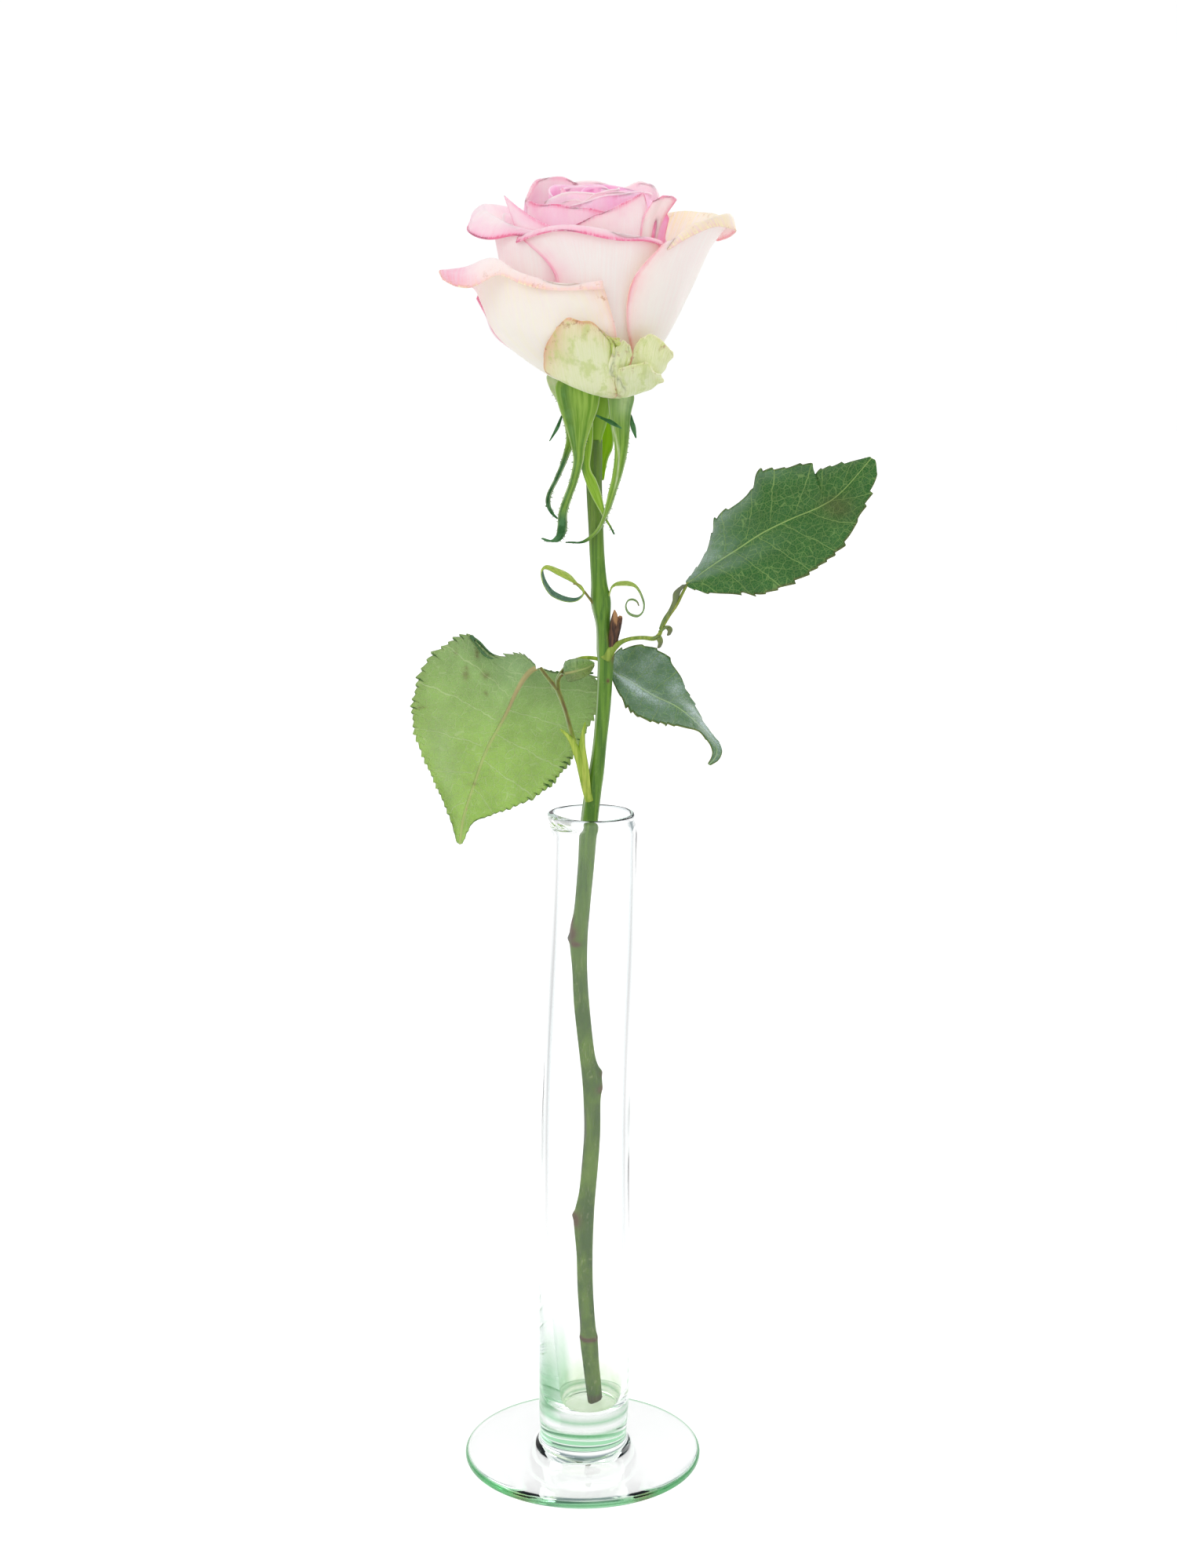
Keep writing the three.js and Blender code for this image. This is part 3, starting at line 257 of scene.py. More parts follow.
# Each bract: name, points, where its dry foot ends, and how much darker it becomes
BRACTS = [
    ("bract_left", BRACT_LEFT, 0.16, 0),
    ("bract_right", BRACT_RIGHT, 0, 0.5),
]
UPPER_STALK_LINE = [
    (6.9, -1.2, 257.2, 1.7), (8.2, -1.6, 259.4, 1.5), (10, -2.2, 261.2, 1), (12, -2.6, 262.6, 0.7),
    (14.7, -3, 263.5, 0.6), (18, -4, 263.9, 0.6), (21.2, -5, 263.8, 0.7), (22.8, -5.6, 265, 0.65),
    (23.9, -6.2, 267.6, 0.5), (25.8, -7, 271, 0.45), (27.8, -7.6, 274, 0.45), (29.6, -8, 277.8, 0.45),
    (31.2, -8, 280.8, 0.4),
]
HOOK_LOW = [
    (20.6, -5.6, 263.6, 0.7), (22.4, -6.2, 264.4, 0.8), (23.2, -6.4, 263, 0.6), (22.8, -6.4, 261.4, 0.35),
]
HOOK_HIGH = [
    (23.2, -6.4, 266.2, 0.6), (25, -6.8, 267.4, 0.7), (26, -7, 266.6, 0.6), (25.6, -7, 265.2, 0.35),
]
WITHERED_STRIP = [
    (23.2, -6, 267, 0.3), (24.4, -6.8, 269.8, 0.5), (26.2, -7.2, 272.6, 0.6), (27.4, -7.6, 275.4, 0.7),
    (28, -7.8, 278, 1), (30, -8, 280, 0.6),
]
LOWER_STALK_LINE = [
    (2.2, -1.8, 214, 1.3), (1, -2.4, 218.5, 1.3), (-0.9, -2.6, 226.5, 1.1), (-3, -2, 234, 0.8),
    (-5.1, -0.6, 241.5, 0.7), (-7.4, 0.6, 247.6, 0.9),
]
FORK_LEFT = [
    (-7.4, 0.6, 247.6, 0.9), (-9, 1.4, 249.4, 0.75), (-10.6, 2.4, 251.2, 0.65), (-12.6, 3.8, 253.6, 0.6),
]
FORK_RIGHT = [
    (-7.4, 0.6, 247.6, 0.9), (-7.3, 1.4, 250.6, 0.7), (-5.9, 3, 252.9, 0.6), (-3.4, 5, 255, 0.6),
    (0, 6.6, 256.2, 0.6), (4, 7.4, 256, 0.6), (7, 7.4, 254.8, 0.6),
]
SMALL_FORK_LINE = [
    (-7.2, 1.2, 250.2, 0.6), (-6.6, 0.4, 251.6, 0.55), (-5.9, 0.2, 252.2, 0.55),
]
WING_LEFT = [
    (1.8, -2.8, 215.5, 0.5), (0.4, -3.3, 222, 0.8), (-1.4, -3.4, 228.5, 0.95), (-2.6, -3.2, 231.6, 0.8),
    (-4.2, -3, 234, 0.45), (-6.4, -2.8, 236, 0.1),
]
WING_RIGHT = [
    (2, -2.8, 216.5, 0.5), (1.2, -3.3, 223, 0.7), (0, -3.2, 229.6, 0.85), (0, -3, 232.6, 0.6),
    (0.3, -2.9, 235, 0.35), (0.9, -2.8, 238, 0.1),
]
SEPAL_FRONT_LEFT = [
    (0.5, 4.5, -5, 337.4), (-5.6, 5, -9.4, 339.8), (-7.7, 5.3, -11.2, 337.6), (-6.6, 4.7, -10.5, 332),
    (-4.7, 2.8, -8.8, 326.5), (-3, 0.9, -7.2, 320.4), (-2.4, 0.2, -6.4, 316), (-3.6, -1.5, -5.8, 310),
    (-5.5, -3.3, -5.4, 305), (-6.8, -4.5, -5, 300.8), (-7.1, -4.6, -4.8, 296.8), (-7.6, -5.4, -4.6, 294.2),
    (-9.8, -7.4, -4.2, 292.5), (-12, -11.6, -4, 293.3),
]
SEPAL_RIGHT = [
    (5, 8, -3.4, 335.4), (6.4, 12, -6, 337), (7.4, 15, -7, 335), (8, 14.2, -6.4, 330), (8.6, 13.9, -6, 326),
    (9.5, 13.4, -5.6, 320.6), (9.5, 12.8, -5.4, 317), (8.9, 11.5, -5.1, 311.8), (7.8, 9.9, -4.8, 307),
    (6.8, 8.4, -4.5, 302.4), (5.9, 6.9, -4.3, 299.2), (4.4, 5.4, -4.1, 296.2), (2, 3.1, -3.9, 293.8),
    (-1, 0.4, -3.7, 292.2), (-4.8, -4.3, -3.4, 292.1),
]
SEPAL_BEHIND = [
    (2, 6, 4.2, 334.4), (3.4, 8, 8, 336), (4, 8.4, 9.4, 333), (4.6, 8.4, 8, 327.5), (4, 9.2, 6.4, 322.5),
    (3.6, 8.9, 5.2, 319), (4, 7.6, 4.4, 316), (4.8, 6.8, 4, 313), (5.6, 6.3, 3.6, 310),
]
SEPAL_CROSSING = [
    (-0.4, 2.4, -4.2, 334.2), (-2.2, 3, -6.4, 330), (-1.6, 3, -4.8, 322), (-0.2, 2.2, -4.2, 314.5),
    (0.9, 4, -4, 310.5), (2.8, 5.6, -4, 306), (5.2, 6.5, -3.9, 301.6), (6.4, 7, -3.6, 299.4),
    (8, 8.3, -3.4, 297), (9.3, 9.5, -3.2, 294.6),
]
SEPAL_BACK_LEFT = [
    (-0.5, 2.5, 4, 336), (-7, 0, 7, 341), (-10.2, -3, 8, 340.2), (-9.3, -3, 8, 336.4),
    (-6.8, -2.6, 7.4, 331.8), (-4.6, -2, 6.4, 323), (-5.8, -4.1, 5.6, 316.5), (-7.9, -6.6, 5, 310.8),
    (-10.4, -9.2, 4.4, 305.6), (-10.6, -9.5, 4.2, 302.6), (-9.4, -8.6, 4, 300.2), (-7.7, -7.3, 4, 298.6),
]
# Each sepal: points, keel, painted glow of light shining through it, where its dark tip starts, bristles and
# where they start
SEPALS = [
    (SEPAL_FRONT_LEFT, 0.12, 0, 0.7, 60, 0.35),
    (SEPAL_RIGHT, 0.1, 0, 0.9, 50, 0.3),
    (SEPAL_BEHIND, -0.1, 0.9, 2.0, 10, 0.6),
    (SEPAL_CROSSING, 0.1, 0.3, 0.92, 20, 0.5),
    (SEPAL_BACK_LEFT, -0.1, 0, 0.55, 50, 0.3),
]
HIP_LINE = [
    (3.5, 0, 321, 2.3), (3.5, 0, 322.7, 2.5), (3.5, 0, 325.5, 3.4), (3.5, 0, 329.5, 4.6),
    (3.5, 0, 333.5, 5.4), (3.5, 0, 338.4, 5),
]
SIDE_TIPS = [
    [(-5.8, -9.4, 329.4, 0.2), (-6.8, -8.6, 326.8, 0.45), (-7.6, -7.8, 325, 0.5), (-9.4, -7, 322, 0.1)],
    [(4.2, -8.8, 329.4, 0.2), (6.6, -9.4, 328.3, 0.3), (8.6, -9.8, 327.4, 0.55), (11.4, -9.8, 325.8, 0.08)],
    [(14.1, -6, 329.4, 0.2), (14.5, -6, 327.6, 0.4), (14.9, -6, 325.8, 0.6), (15.7, -6, 322.8, 0.1)],
]
UPPER_LEAF = {
    "middle": [
        (30.1, -8.2, 280.2), (38, -6, 285.5), (46, -5, 290.5), (53, -4.5, 295), (61, -5, 299),
        (70, -6, 303), (76, -7.5, 307.5), (84.4, -11, 317.9),
    ],
    "left": [
        (30, -8, 280.4), (33, -4, 283.4), (36.5, 0, 288), (39, 4, 294), (40.7, 6, 298.5), (47.5, 7, 303),
        (51, 8, 306.5), (53, 8, 311.5), (60, 6, 313), (67.8, 4, 314.4), (67.2, 2, 309.8),
        (70.5, 0.5, 313.2), (76, -4, 315), (81, -8, 316.4), (84.3, -11, 318),
    ],
    "right": [
        (30.4, -8.6, 279.8), (37.5, -12, 278.4), (45.5, -15, 279), (52, -17, 278.8), (60.5, -18, 282.2),
        (68, -17, 286.4), (73, -16, 290.4), (77, -15, 295), (80.5, -13.5, 301.5), (83.2, -12, 307.5),
        (85.2, -11.2, 313.5), (84.6, -11, 317.8),
    ],
    "teeth": 17,
    "tooth": 1,
    "face": 1,
    "cup": -1.6,
}
RIGHT_LEAF = {
    "middle": [
        (7.6, 7, 253.4), (13.5, 5, 250), (21.5, 2, 245.5), (28.5, -1, 242.5), (34.5, -4, 238),
        (38.2, -6.6, 234), (40, -8.8, 231.4), (39.4, -10.8, 228.9), (37.2, -12.2, 226.7),
    ],
    "left": [
        (7.6, 7.4, 254), (10.8, 11, 257.2), (17.5, 14, 258.8), (24, 13.6, 256.6), (29.3, 10, 250.6),
        (31, 7.4, 246.8), (33.4, 4.6, 243), (36, 0.6, 238.4), (39, -4, 234.6), (40.9, -7, 232.4),
        (41.3, -9, 230.4), (40, -11, 228.2), (37.2, -12.4, 226.6),
    ],
    "right": [
        (7.7, 6.6, 252.8), (10.2, 3.4, 248.4), (13, -1.4, 244.2), (16.4, -5.4, 241), (20.5, -8, 239.5),
        (24.5, -9, 238.8), (30.5, -10, 237.6), (34.5, -9.2, 236.4), (37.3, -9.2, 233.7),
        (38.7, -10, 231.5), (38.6, -11, 229.4), (37.1, -12.2, 226.8),
    ],
    "teeth": 13,
    "tooth": 0.95,
    "face": 1,
    "cup": 1.4,
}
LARGE_LEAF = {
    "middle": [
        (-13.4, 5, 253.6), (-16.5, 8, 251), (-20, 9.4, 245.5), (-23, 10.4, 239), (-25.7, 10.6, 234),
        (-29.5, 10, 227), (-33, 8, 217.5), (-36.3, 4, 207.5), (-37.4, 1, 199),
    ],
    "left": [
        (-13.6, 5, 253.9), (-19, 9, 257), (-26, 11, 255.6), (-31.5, 13, 259.2), (-34.2, 14, 262),
        (-40, 10, 260), (-46, 7, 255.4), (-49, 5, 249.5), (-50.8, 4, 240.5), (-49.8, 3, 232),
        (-46.7, 3, 223.5), (-42.6, 2.6, 214), (-39.8, 2, 207), (-37.6, 1, 198.9),
    ],
    "right": [
        (-13, 5.4, 253.2), (-7.5, 9, 251.5), (0, 13, 250.8), (4.2, 14.6, 248), (4.4, 15, 241),
        (0.7, 15, 232.5), (-4.5, 13, 223.5), (-10.5, 11, 216.4), (-17.5, 9, 212), (-27.5, 6, 208.4),
        (-33.6, 3.6, 206), (-37.1, 1, 198.9),
    ],
    "teeth": 42,
    "tooth": 1.15,
    "face": 1,
    "cup": 1.5,
}
# Each brown spot: x, z, half width, half height and depth
LARGE_SPOTS = [
    (-35.5, 250.3, 0.9, 1.5, 0.6), (-29.6, 250, 1.1, 0.9, 0.6), (-32.2, 256.4, 0.5, 1.4, 0.7),
    (-29.6, 244.7, 0.7, 0.5, 0.5), (-49, 241.3, 1.8, 0.4, 0.5), (-35.3, 252.8, 0.4, 0.9, 0.5),
    (-38.5, 257.5, 0.35, 1.4, 0.4), (-33.4, 217.2, 1.2, 0.5, 0.4),
]
FOLDED_MARGIN = [
    (-34, 13.4, 262, 0.3), (-31.6, 13.4, 259.6, 0.8), (-29.6, 12.8, 257.2, 1), (-27.7, 12.2, 256, 0.8),
    (-25.6, 11.4, 255.8, 0.35),
]
SMALL_LEAF = {
    "middle": [
        (-5.4, 0.2, 252.5), (-2.4, -0.6, 253.2), (1, 0.4, 254), (3.6, 2.2, 255),
    ],
    "left": [
        (-5.5, 0.6, 252.8), (-5, 1.6, 255.6), (-1.6, 2, 256.6), (1.8, 2.6, 256.2), (3.7, 2.8, 255.2),
    ],
    "right": [
        (-5.3, 0.2, 252.2), (-4, -0.6, 250.4), (-0.6, -0.8, 251.2), (2.2, 0.8, 252.6), (3.7, 2.2, 254.8),
    ],
    "teeth": 6,
    "tooth": 0.35,
    "face": 0,
    "under": 0.52,
    "cup": 0.5,
}

# Petals, as rows of turns in degrees from the viewer, distances from the axis and heights. One number stands
# for a whole row, and a row without turns keeps those of the row before.
OUTER_LEFT = [
    ((-125, -92, -60, -35, -8, 20), (6, 6.5, 6.5, 6.5, 6.5, 6), 0),
    ((-122, -92, -60, -35, -8, 20), (13.5, 14.2, 14.5, 14.5, 14, 13), (4.5, 3.5, 3.5, 3.5, 3.5, 4.5)),
    ((-118, -90, -60, -35, -10, 15), (25, 27.5, 27.5, 26.5, 25, 23.5), (14, 13.5, 13.5, 13.5, 13.5, 13)),
    ((-108, -88, -62, -38, -14, 10), (31, 32.5, 31, 28.5, 26.3, 24.8), (24, 23, 24, 23, 22, 21.5)),
    ((-84, -76, -59, -42, -22, 5), (43.6, 36.6, 32.5, 29.5, 27.5, 26.2), (32, 33.6, 35.5, 31, 29, 28.5)),
    ((-70, -61, -51, -41, -22, 5), (45.8, 41, 35.5, 31.6, 29, 27.2), (30, 27.5, 31.5, 28.5, 27, 26.8)),
]
OUTER_RIGHT = [
    ((25, 50, 70, 88, 108, 135), (6, 6.5, 6.5, 6.5, 6.5, 6), 0),
    ((42, 55, 70, 88, 108, 135), (14, 14.5, 14.5, 14.5, 14.5, 13.5), (5, 4.5, 4, 4, 4, 5)),
    ((25, 45, 66, 86, 108, 130), (22.6, 22.6, 22.5, 22.5, 22.5, 22), 16),
    ((22, 44, 65, 84, 102, 122), (26.4, 26.6, 27, 27.5, 27.5, 27), 26.5),
    ((29, 46, 62, 78, 94, 112), (27.8, 28.5, 31, 33.5, 33, 31.5), (33.5, 34, 36.4, 39, 38, 36)),
    ((42, 52, 62, 72, 86, 104), (28.8, 31.5, 36, 39.6, 38.4, 35.5), (39, 42.5, 46.2, 47.8, 45.4, 43)),
    ((44, 54, 64, 75, 86, 104), (29.8, 33, 38, 41.2, 40, 37), (38, 41.5, 44.6, 43.6, 42.6, 41)),
]
MIDDLE_FRONT = [
    ((-50, -30, -8, 12, 32, 55), 5, 0),
    ((-50, -28, -6, 14, 34, 55), (12, 12.4, 12.4, 12.4, 12.4, 12), 5.5),
    ((-42, -25, -5, 15, 34, 52), (19.5, 20, 20.5, 20.5, 20, 19.5), 15),
    ((-30, -18, -3, 15, 34, 52), (23, 23, 23, 23, 23, 22.5), 24),
    ((-26, -16, -3, 15, 34, 52), (24.3, 24, 24, 24, 23.8, 23.4), (30.2, 31, 32, 32, 32, 32)),
    ((-36, -21, -4, 16, 35, 52), (24.8, 24.3, 24.2, 24.2, 24, 23.7), (36, 37, 38, 37.5, 37, 36.2)),
    ((-56, -28, -5, 15, 34, 51), (25.2, 24.6, 24.3, 24.4, 24.5, 24.4), (41.5, 44, 43.6, 42.6, 41.5, 40)),
    ((-57, -28, -5, 15, 34, 51), (26.3, 25.8, 25.5, 25.6, 25.6, 25.2), (40.2, 42.8, 42.4, 41.4, 40.4, 39)),
]
MIDDLE_LEFT = [
    ((-130, -108, -88, -68, -50, -30), 5.5, 0),
    ((12.5, 13, 13, 12.6, 12, 11.4), (5, 4.6, 4.6, 4.6, 4.6, 5)),
    ((20.5, 21.2, 21.2, 20.6, 19.6, 18.8), 15),
    ((-128, -106, -88, -70, -50, -28), (24.5, 25.4, 25.6, 25, 23.4, 22), 24),
    ((-127, -105, -88, -72, -52, -25), (26, 27, 27.3, 26.8, 24.6, 22.8), (36, 36, 35.5, 35, 34.5, 32)),
    ((-128, -106, -90, -72, -56, -34), (28, 30.6, 30.6, 27.8, 25, 23), (49, 50.4, 49, 46, 43.6, 41)),
    (
        (-126, -108, -92, -76, -60, -38),
        (31, 34.4, 34.8, 30.6, 26.2, 23.2),
        (50.6, 50.8, 48, 44.6, 43.4, 41.6),
    ),
    (
        (-122, -104, -89, -75, -61, -40),
        (32.4, 36, 36.2, 32.4, 27.2, 23.4),
        (49, 47.6, 43.8, 41.2, 42.2, 41.4),
    ),
]
POINTED = [
    ((-66, -54, -44, -32, -18), 5, 0),
    (12, 7),
    (19, 17),
    ((-64, -54, -44, -32, -18), (22, 22, 22, 21.8, 21.6), 27),
    ((-64, -55, -45, -32, -18), (23.4, 23.2, 22.9, 22.5, 22.2), 36),
    ((-65, -56, -46, -32, -18), (24.6, 23.9, 23.4, 22.7, 22.3), (44, 43.5, 42.5, 41.5, 40.5)),
    ((-70, -59, -48, -32, -18), (27, 24.7, 23.7, 22.8, 22.4), (53.2, 49.5, 47, 44.4, 43)),
]
INNER_FRONT = [
    ((-88, -60, -32, -8, 18), 4, 2),
    (14, 18),
    ((18.4, 18.6, 18.6, 18.6, 18.4), 32),
    ((18.9, 19.8, 20, 20, 19.6), (43, 43, 42.5, 42, 42)),
    ((18.6, 19.4, 19.4, 19.3, 19.2), (52, 50.6, 50.1, 49, 47.2)),
]
INNER_RIGHT = [
    ((-22, 4, 22, 40, 56, 72), 4, 2),
    (15, 19),
    ((-22, 4, 22, 40, 54, 66), (19.6, 19.7, 19.7, 19.7, 20, 20.4), 32),
    ((-21, 2, 18, 32, 42, 50), (20.8, 21, 21, 21, 21, 21), (40.5, 41.5, 42.5, 43.5, 43.5, 42)),
    ((-19, 2, 18, 32, 41, 46), (20.6, 20.8, 20.8, 20.8, 20.8, 20.6), (44, 47.4, 49.4, 51.8, 53.4, 50)),
]
INNER_TONGUE = [
    ((36, 44, 52, 60), 5, 2),
    (16, 20),
    ((38, 44, 50, 56), (20.4, 20.6, 20.8, 20.8), 34),
    ((38, 44, 49, 53), (21.4, 21.6, 21.8, 22), (42, 41.6, 41.2, 40.8)),
    ((40, 46, 52, 57), (21.8, 22.2, 22.6, 23), (47, 47, 46.8, 46.2)),
    ((45, 50, 55, 59), (23.4, 24.8, 26, 27), (51.4, 52.4, 52.8, 51.8)),
]
# A small sheet behind the tongue, deep pink all over: its colour stands partly for painted shade and light
# through the tongue's curled-back underside
TONGUE_SIDE = [
    ((50, 56, 62, 68), 5, 2),
    (16, 20),
    (21, 34),
    ((48, 54, 59, 64), 22, (41, 41, 40.6, 40)),
    ((52, 57, 62, 66), (22.4, 22.8, 23, 23.2), (47.6, 48.4, 48.4, 47)),
]
CENTRE_WAVE = [
    ((-58, -38, -16, 4, 24, 44, 62), 4, 6),
    (11, 28),
    ((-55, -32, -14, 3, 22, 42, 58), 12.8, 44),
    (
        (-50, -26, -13, 2, 20, 41, 56),
        (12.6, 13.2, 13, 13.4, 13.2, 13, 12.4),
        (50.8, 51.8, 51.2, 53.2, 53.9, 53.9, 52.4),
    ),
]
CENTRE_POINT = [
    ((-74, -56, -40, -20), 3, 20),
    (9.6, 40),
    ((-72, -56, -42, -20), 11, (50, 51, 51, 50)),
    ((-60, -54, -48, -40), (11, 11.2, 11.2, 11), (53.4, 55.4, 54.6, 52.6)),
]
LEFT_UNDER = [
    ((-138, -124, -110, -96), 6, 0),
    ((-146, -128, -110, -95), 14.6, 4.4),
    ((-154, -131, -110, -94), (26.8, 27.6, 28, 27.8), (12, 13, 13, 13)),
    ((-152, -130, -109, -92), (30.4, 31.6, 32, 31.4), (17, 19.4, 19.6, 18.6)),
    ((-137, -122, -107, -93), (32.6, 34.4, 34.8, 34.2), (22, 27.6, 27.6, 24.6)),
]
INNER_BACK_LEFT = [
    ((-86, -108, -130, -150, -172), 4, 2),
    (14.6, 19),
    ((-84, -107, -130, -150, -172), (19.2, 19.3, 19.3, 19.3, 19), 33),
    ((-82, -106, -128, -150, -172), (19.7, 20.2, 20.4, 20.3, 19.8), (46, 47, 48, 48, 47)),
    ((-80, -102, -124, -147, -165), (19.4, 19.6, 19.8, 19.8, 19), (49.5, 53.4, 58, 59.4, 58)),
]
INNER_BACK = [
    ((198, 176, 154, 132, 110, 86), 4, 2),
    (15, 19),
    ((19.6, 20, 20, 20, 20, 19.8), 33),
    ((20.2, 20.8, 21, 21, 20.8, 20), (48, 48, 48, 48, 46, 42)),
    ((198, 176, 154, 138, 118, 92), (20, 20.9, 21.2, 21.2, 20.6, 19.6), (57.8, 58, 56.4, 57.8, 55.4, 46)),
]
BACK_RIGHT = [
    ((158, 136, 116, 98, 78), 5.5, 0),
    ((13, 13.4, 13.4, 13.4, 13), 5),
    ((21, 21.5, 21.5, 21.5, 21), 15.5),
    ((156, 136, 116, 98, 78), (25, 25.5, 26, 26, 25.5), 26),
    ((154, 136, 116, 98, 80), (27.5, 28.5, 30, 30, 28.5), (38, 38.5, 38.5, 38, 37)),
    ((152, 134, 118, 102, 84), (29.5, 32.5, 38, 37, 32), (48, 49.5, 49, 46, 42)),
]
GUARD_LEFT = [
    ((-36, -22, -6, 6, 16, 22), 8, (1.5, -0.5, -2, -2.8, -3.2, -3.4)),
    ((-38, -22, -4, 7, 16, 21), (21.5, 19.5, 18, 17.5, 17.5, 17.5), (3.6, 0.8, -1.2, -1.8, -2.4, -2.8)),
    ((-36, -22, -6, 4, 12, 15), (24, 24, 23.6, 23.2, 22.6, 21.6), (8, 7, 6, 5, 3, 1.4)),
    ((-31, -21, -8, 2, 10, 13), (26.2, 27, 27, 26.6, 26, 25), (11.5, 12, 12, 11, 9.6, 7.6)),
    ((-26, -18, -8, 1, 8, 14), (27.4, 28.2, 28.4, 28, 27.4, 26.6), (14.3, 16.8, 17, 15.6, 13.4, 11.2)),
    ((-22, -15, -8, -1, 8, 16), (28, 28.7, 28.8, 28.4, 27.6, 26.8), (16.6, 19.2, 18.2, 18, 14.2, 13.4)),
]
GUARD_FOLD = [
    ((17, 22, 30), 8, -3.2),
    ((19, 22, 27), 17.5, (-2.2, -2.8, -3)),
    ((15, 19, 25), (21.5, 22, 22), (1.5, 1.2, 1)),
    ((10, 16, 24), (25.2, 24.6, 24), (5.5, 6, 6)),
    ((12, 18, 24.5), (26.6, 25.4, 24.4), (10, 9.5, 8.4)),
    ((17.5, 20, 23), (26.8, 26, 25), (13, 12.4, 11.4)),
]
GUARD_LOWER = [
    ((20, 30, 40, 50, 58), 9, (-3, -3, -2.6, -1.6, -0.6)),
    ((22, 32, 43, 51, 56), (17.5, 17.8, 19.2, 21.5, 22.5), (-2.4, -2.8, -1.8, -0.4, 1)),
    ((17, 26, 36, 46, 52), (22.8, 23, 23.6, 24.2, 24.4), (2.2, 1.6, 2, 2.2, 2.4)),
    ((16, 24, 33, 39, 48), (25.4, 25.6, 26.4, 26.2, 25.4), (5.4, 5.8, 6.8, 4.8, 3)),
]
GUARD_UPPER = [
    ((24, 36, 48, 60, 70), 9.5, (-2, -2, -1, 0, 1)),
    ((26, 36, 46, 56, 64), (18, 18.6, 19.6, 20.4, 21), (1, 0, 0.4, 2, 3.6)),
    ((27, 34, 42, 50, 57), (23.4, 23.8, 24.6, 25, 25), (6.5, 5.6, 5, 5.4, 6.6)),
    ((28, 34, 42, 49, 58), (24.6, 25.4, 26.2, 26.6, 26.8), (10.6, 11.4, 11, 9.6, 8)),
    ((31, 37, 43, 50, 55), (25.6, 26.2, 26.8, 27.2, 27.2), (13.6, 14.6, 13.4, 11, 9.6)),
]
# A hidden petal's rows: distance, share of its flare, rise, and how far open
HIDDEN_PROFILE = [
    (0.2, 0, 0, 0.8), (0.5, 0, 0.16, 0.92), (0.82, 0, 0.4, 1), (0.98, 0, 0.66, 1), (1, 0.5, 0.88, 0.93),
    (1, 1, 1, 0.8), (1.04, 1, 0.97, 0.74),
]
# Each petal: rows, columns and steps, outer face, inner face, length and degrees of its rolled rim, wave, how
# much its left and right edges count as rim, and how peach its rim is. A face is blush at the foot and at the
# rim, rim colour, age and spots, the last two left out where they are none.
PETALS = [
    (OUTER_LEFT, (64, 56), (0, 0.05, 0.9, 0.22, 0.7), (0.05, 0.15, 0.6, 0, 0.4), NO_ROLL, 0.5, (0.2, 1), 0.4),
    (
        OUTER_RIGHT, (60, 56), (0.06, 0.1, 0.9, 0.03, 0.1), (0.05, 0.15, 0.7, 0.5, 0.4), NO_ROLL, 0.4,
        (1, 0.2), 0.2,
    ),
    (MIDDLE_FRONT, (50, 52), (0.1, 0.12, 0.8), (0.15, 0.4, 0.8), (0.5, 50), 0.35, (1, 1), 0),
    (MIDDLE_LEFT, (50, 50), (0.1, 0.3, 0.9, 0, 0.1), (0.1, 0.5, 0.9, 0, 0.1), (0.3, 40), 0.5, (0.3, 1), 0),
    (POINTED, (30, 44), (0.2, 0.35, 0.55), (0.2, 0.4, 0.7), NO_ROLL, 0.3, (0.5, 0.5), 0),
    (INNER_FRONT, (44, 36), (0.55, 0.45, 0.7), (0.6, 0.4, 0.8), (0.4, 60), 0.4, (0.2, 0.2), 0),
    (INNER_RIGHT, (40, 40), (0.15, 0.2, 0.8), (0.6, 0.4, 0.9), (0.3, 40), 0.35, (0.2, 0.4), 0),
    (INNER_TONGUE, (20, 36), (0.1, 0.15, 0.7, 0.05), (0.3, 0.5, 0.8), (0.3, 40), 0.2, (0.3, 1), 0),
    (TONGUE_SIDE, (14, 26), (0.8, 1, 1), (0.8, 1, 1), NO_ROLL, 0.1, (1, 1), 0),
    (INNER_BACK_LEFT, (40, 40), (0.9, 0.85, 0.6), (0.9, 0.05, 0.5), (0.4, 60), 0.4, (0.8, 0.3), 0),
    (INNER_BACK, (44, 40), (0.6, 0.8, 0.4), (1, 0.05, 0.15), (0.3, 50), 0.5, (0.3, 0.3), 0),
    (CENTRE_WAVE, (40, 30), (1, 0, 0.25), (1, 0.5, 0.3), (0.2, 50), 0.25, (0.5, 0.5), 0),
    (CENTRE_POINT, (18, 24), (0.9, 0.3, 0.5), (0.9, 0.5, 0.5), NO_ROLL, 0.1, (0.6, 0.6), 0),
    (BACK_RIGHT, (40, 44), (0, 0.05, 0.4, 0.1, 0.1), (0, 0, 0.15, 0.45, 0.4), (1, 60), 0.5, (0.5, 0.5), 0.3),
    (LEFT_UNDER, (24, 30), (0.1, 0.45, 0.6), (0.2, 0.5, 0.8), NO_ROLL, 0.4, (0.4, 1), 0),
]
# Each hidden petal: middle and half of its turn, radius, top and flare, columns and steps, and outer face
HIDDEN_PETALS = [
    ((-152, 40, 31.5, 374, 0.2), (36, 34), (0, 0.14, 0.3, 0.12, 0.1)),
    ((172, 44, 31, 378, 0.22), (36, 34), (0, 0.14, 0.3, 0.12, 0.1)),
    ((-120, 46, 23.6, 386, 0.1), (32, 30), (0.05, 0.35, 0.45)),
    ((156, 40, 22.4, 388, 0.08), (32, 30), (0.05, 0.35, 0.45)),
]
CORE_PROFILE = [
    (-0.6, 5.6), (6, 10), (14, 12.6), (26, 13.6), (40, 12), (46, 5),
]
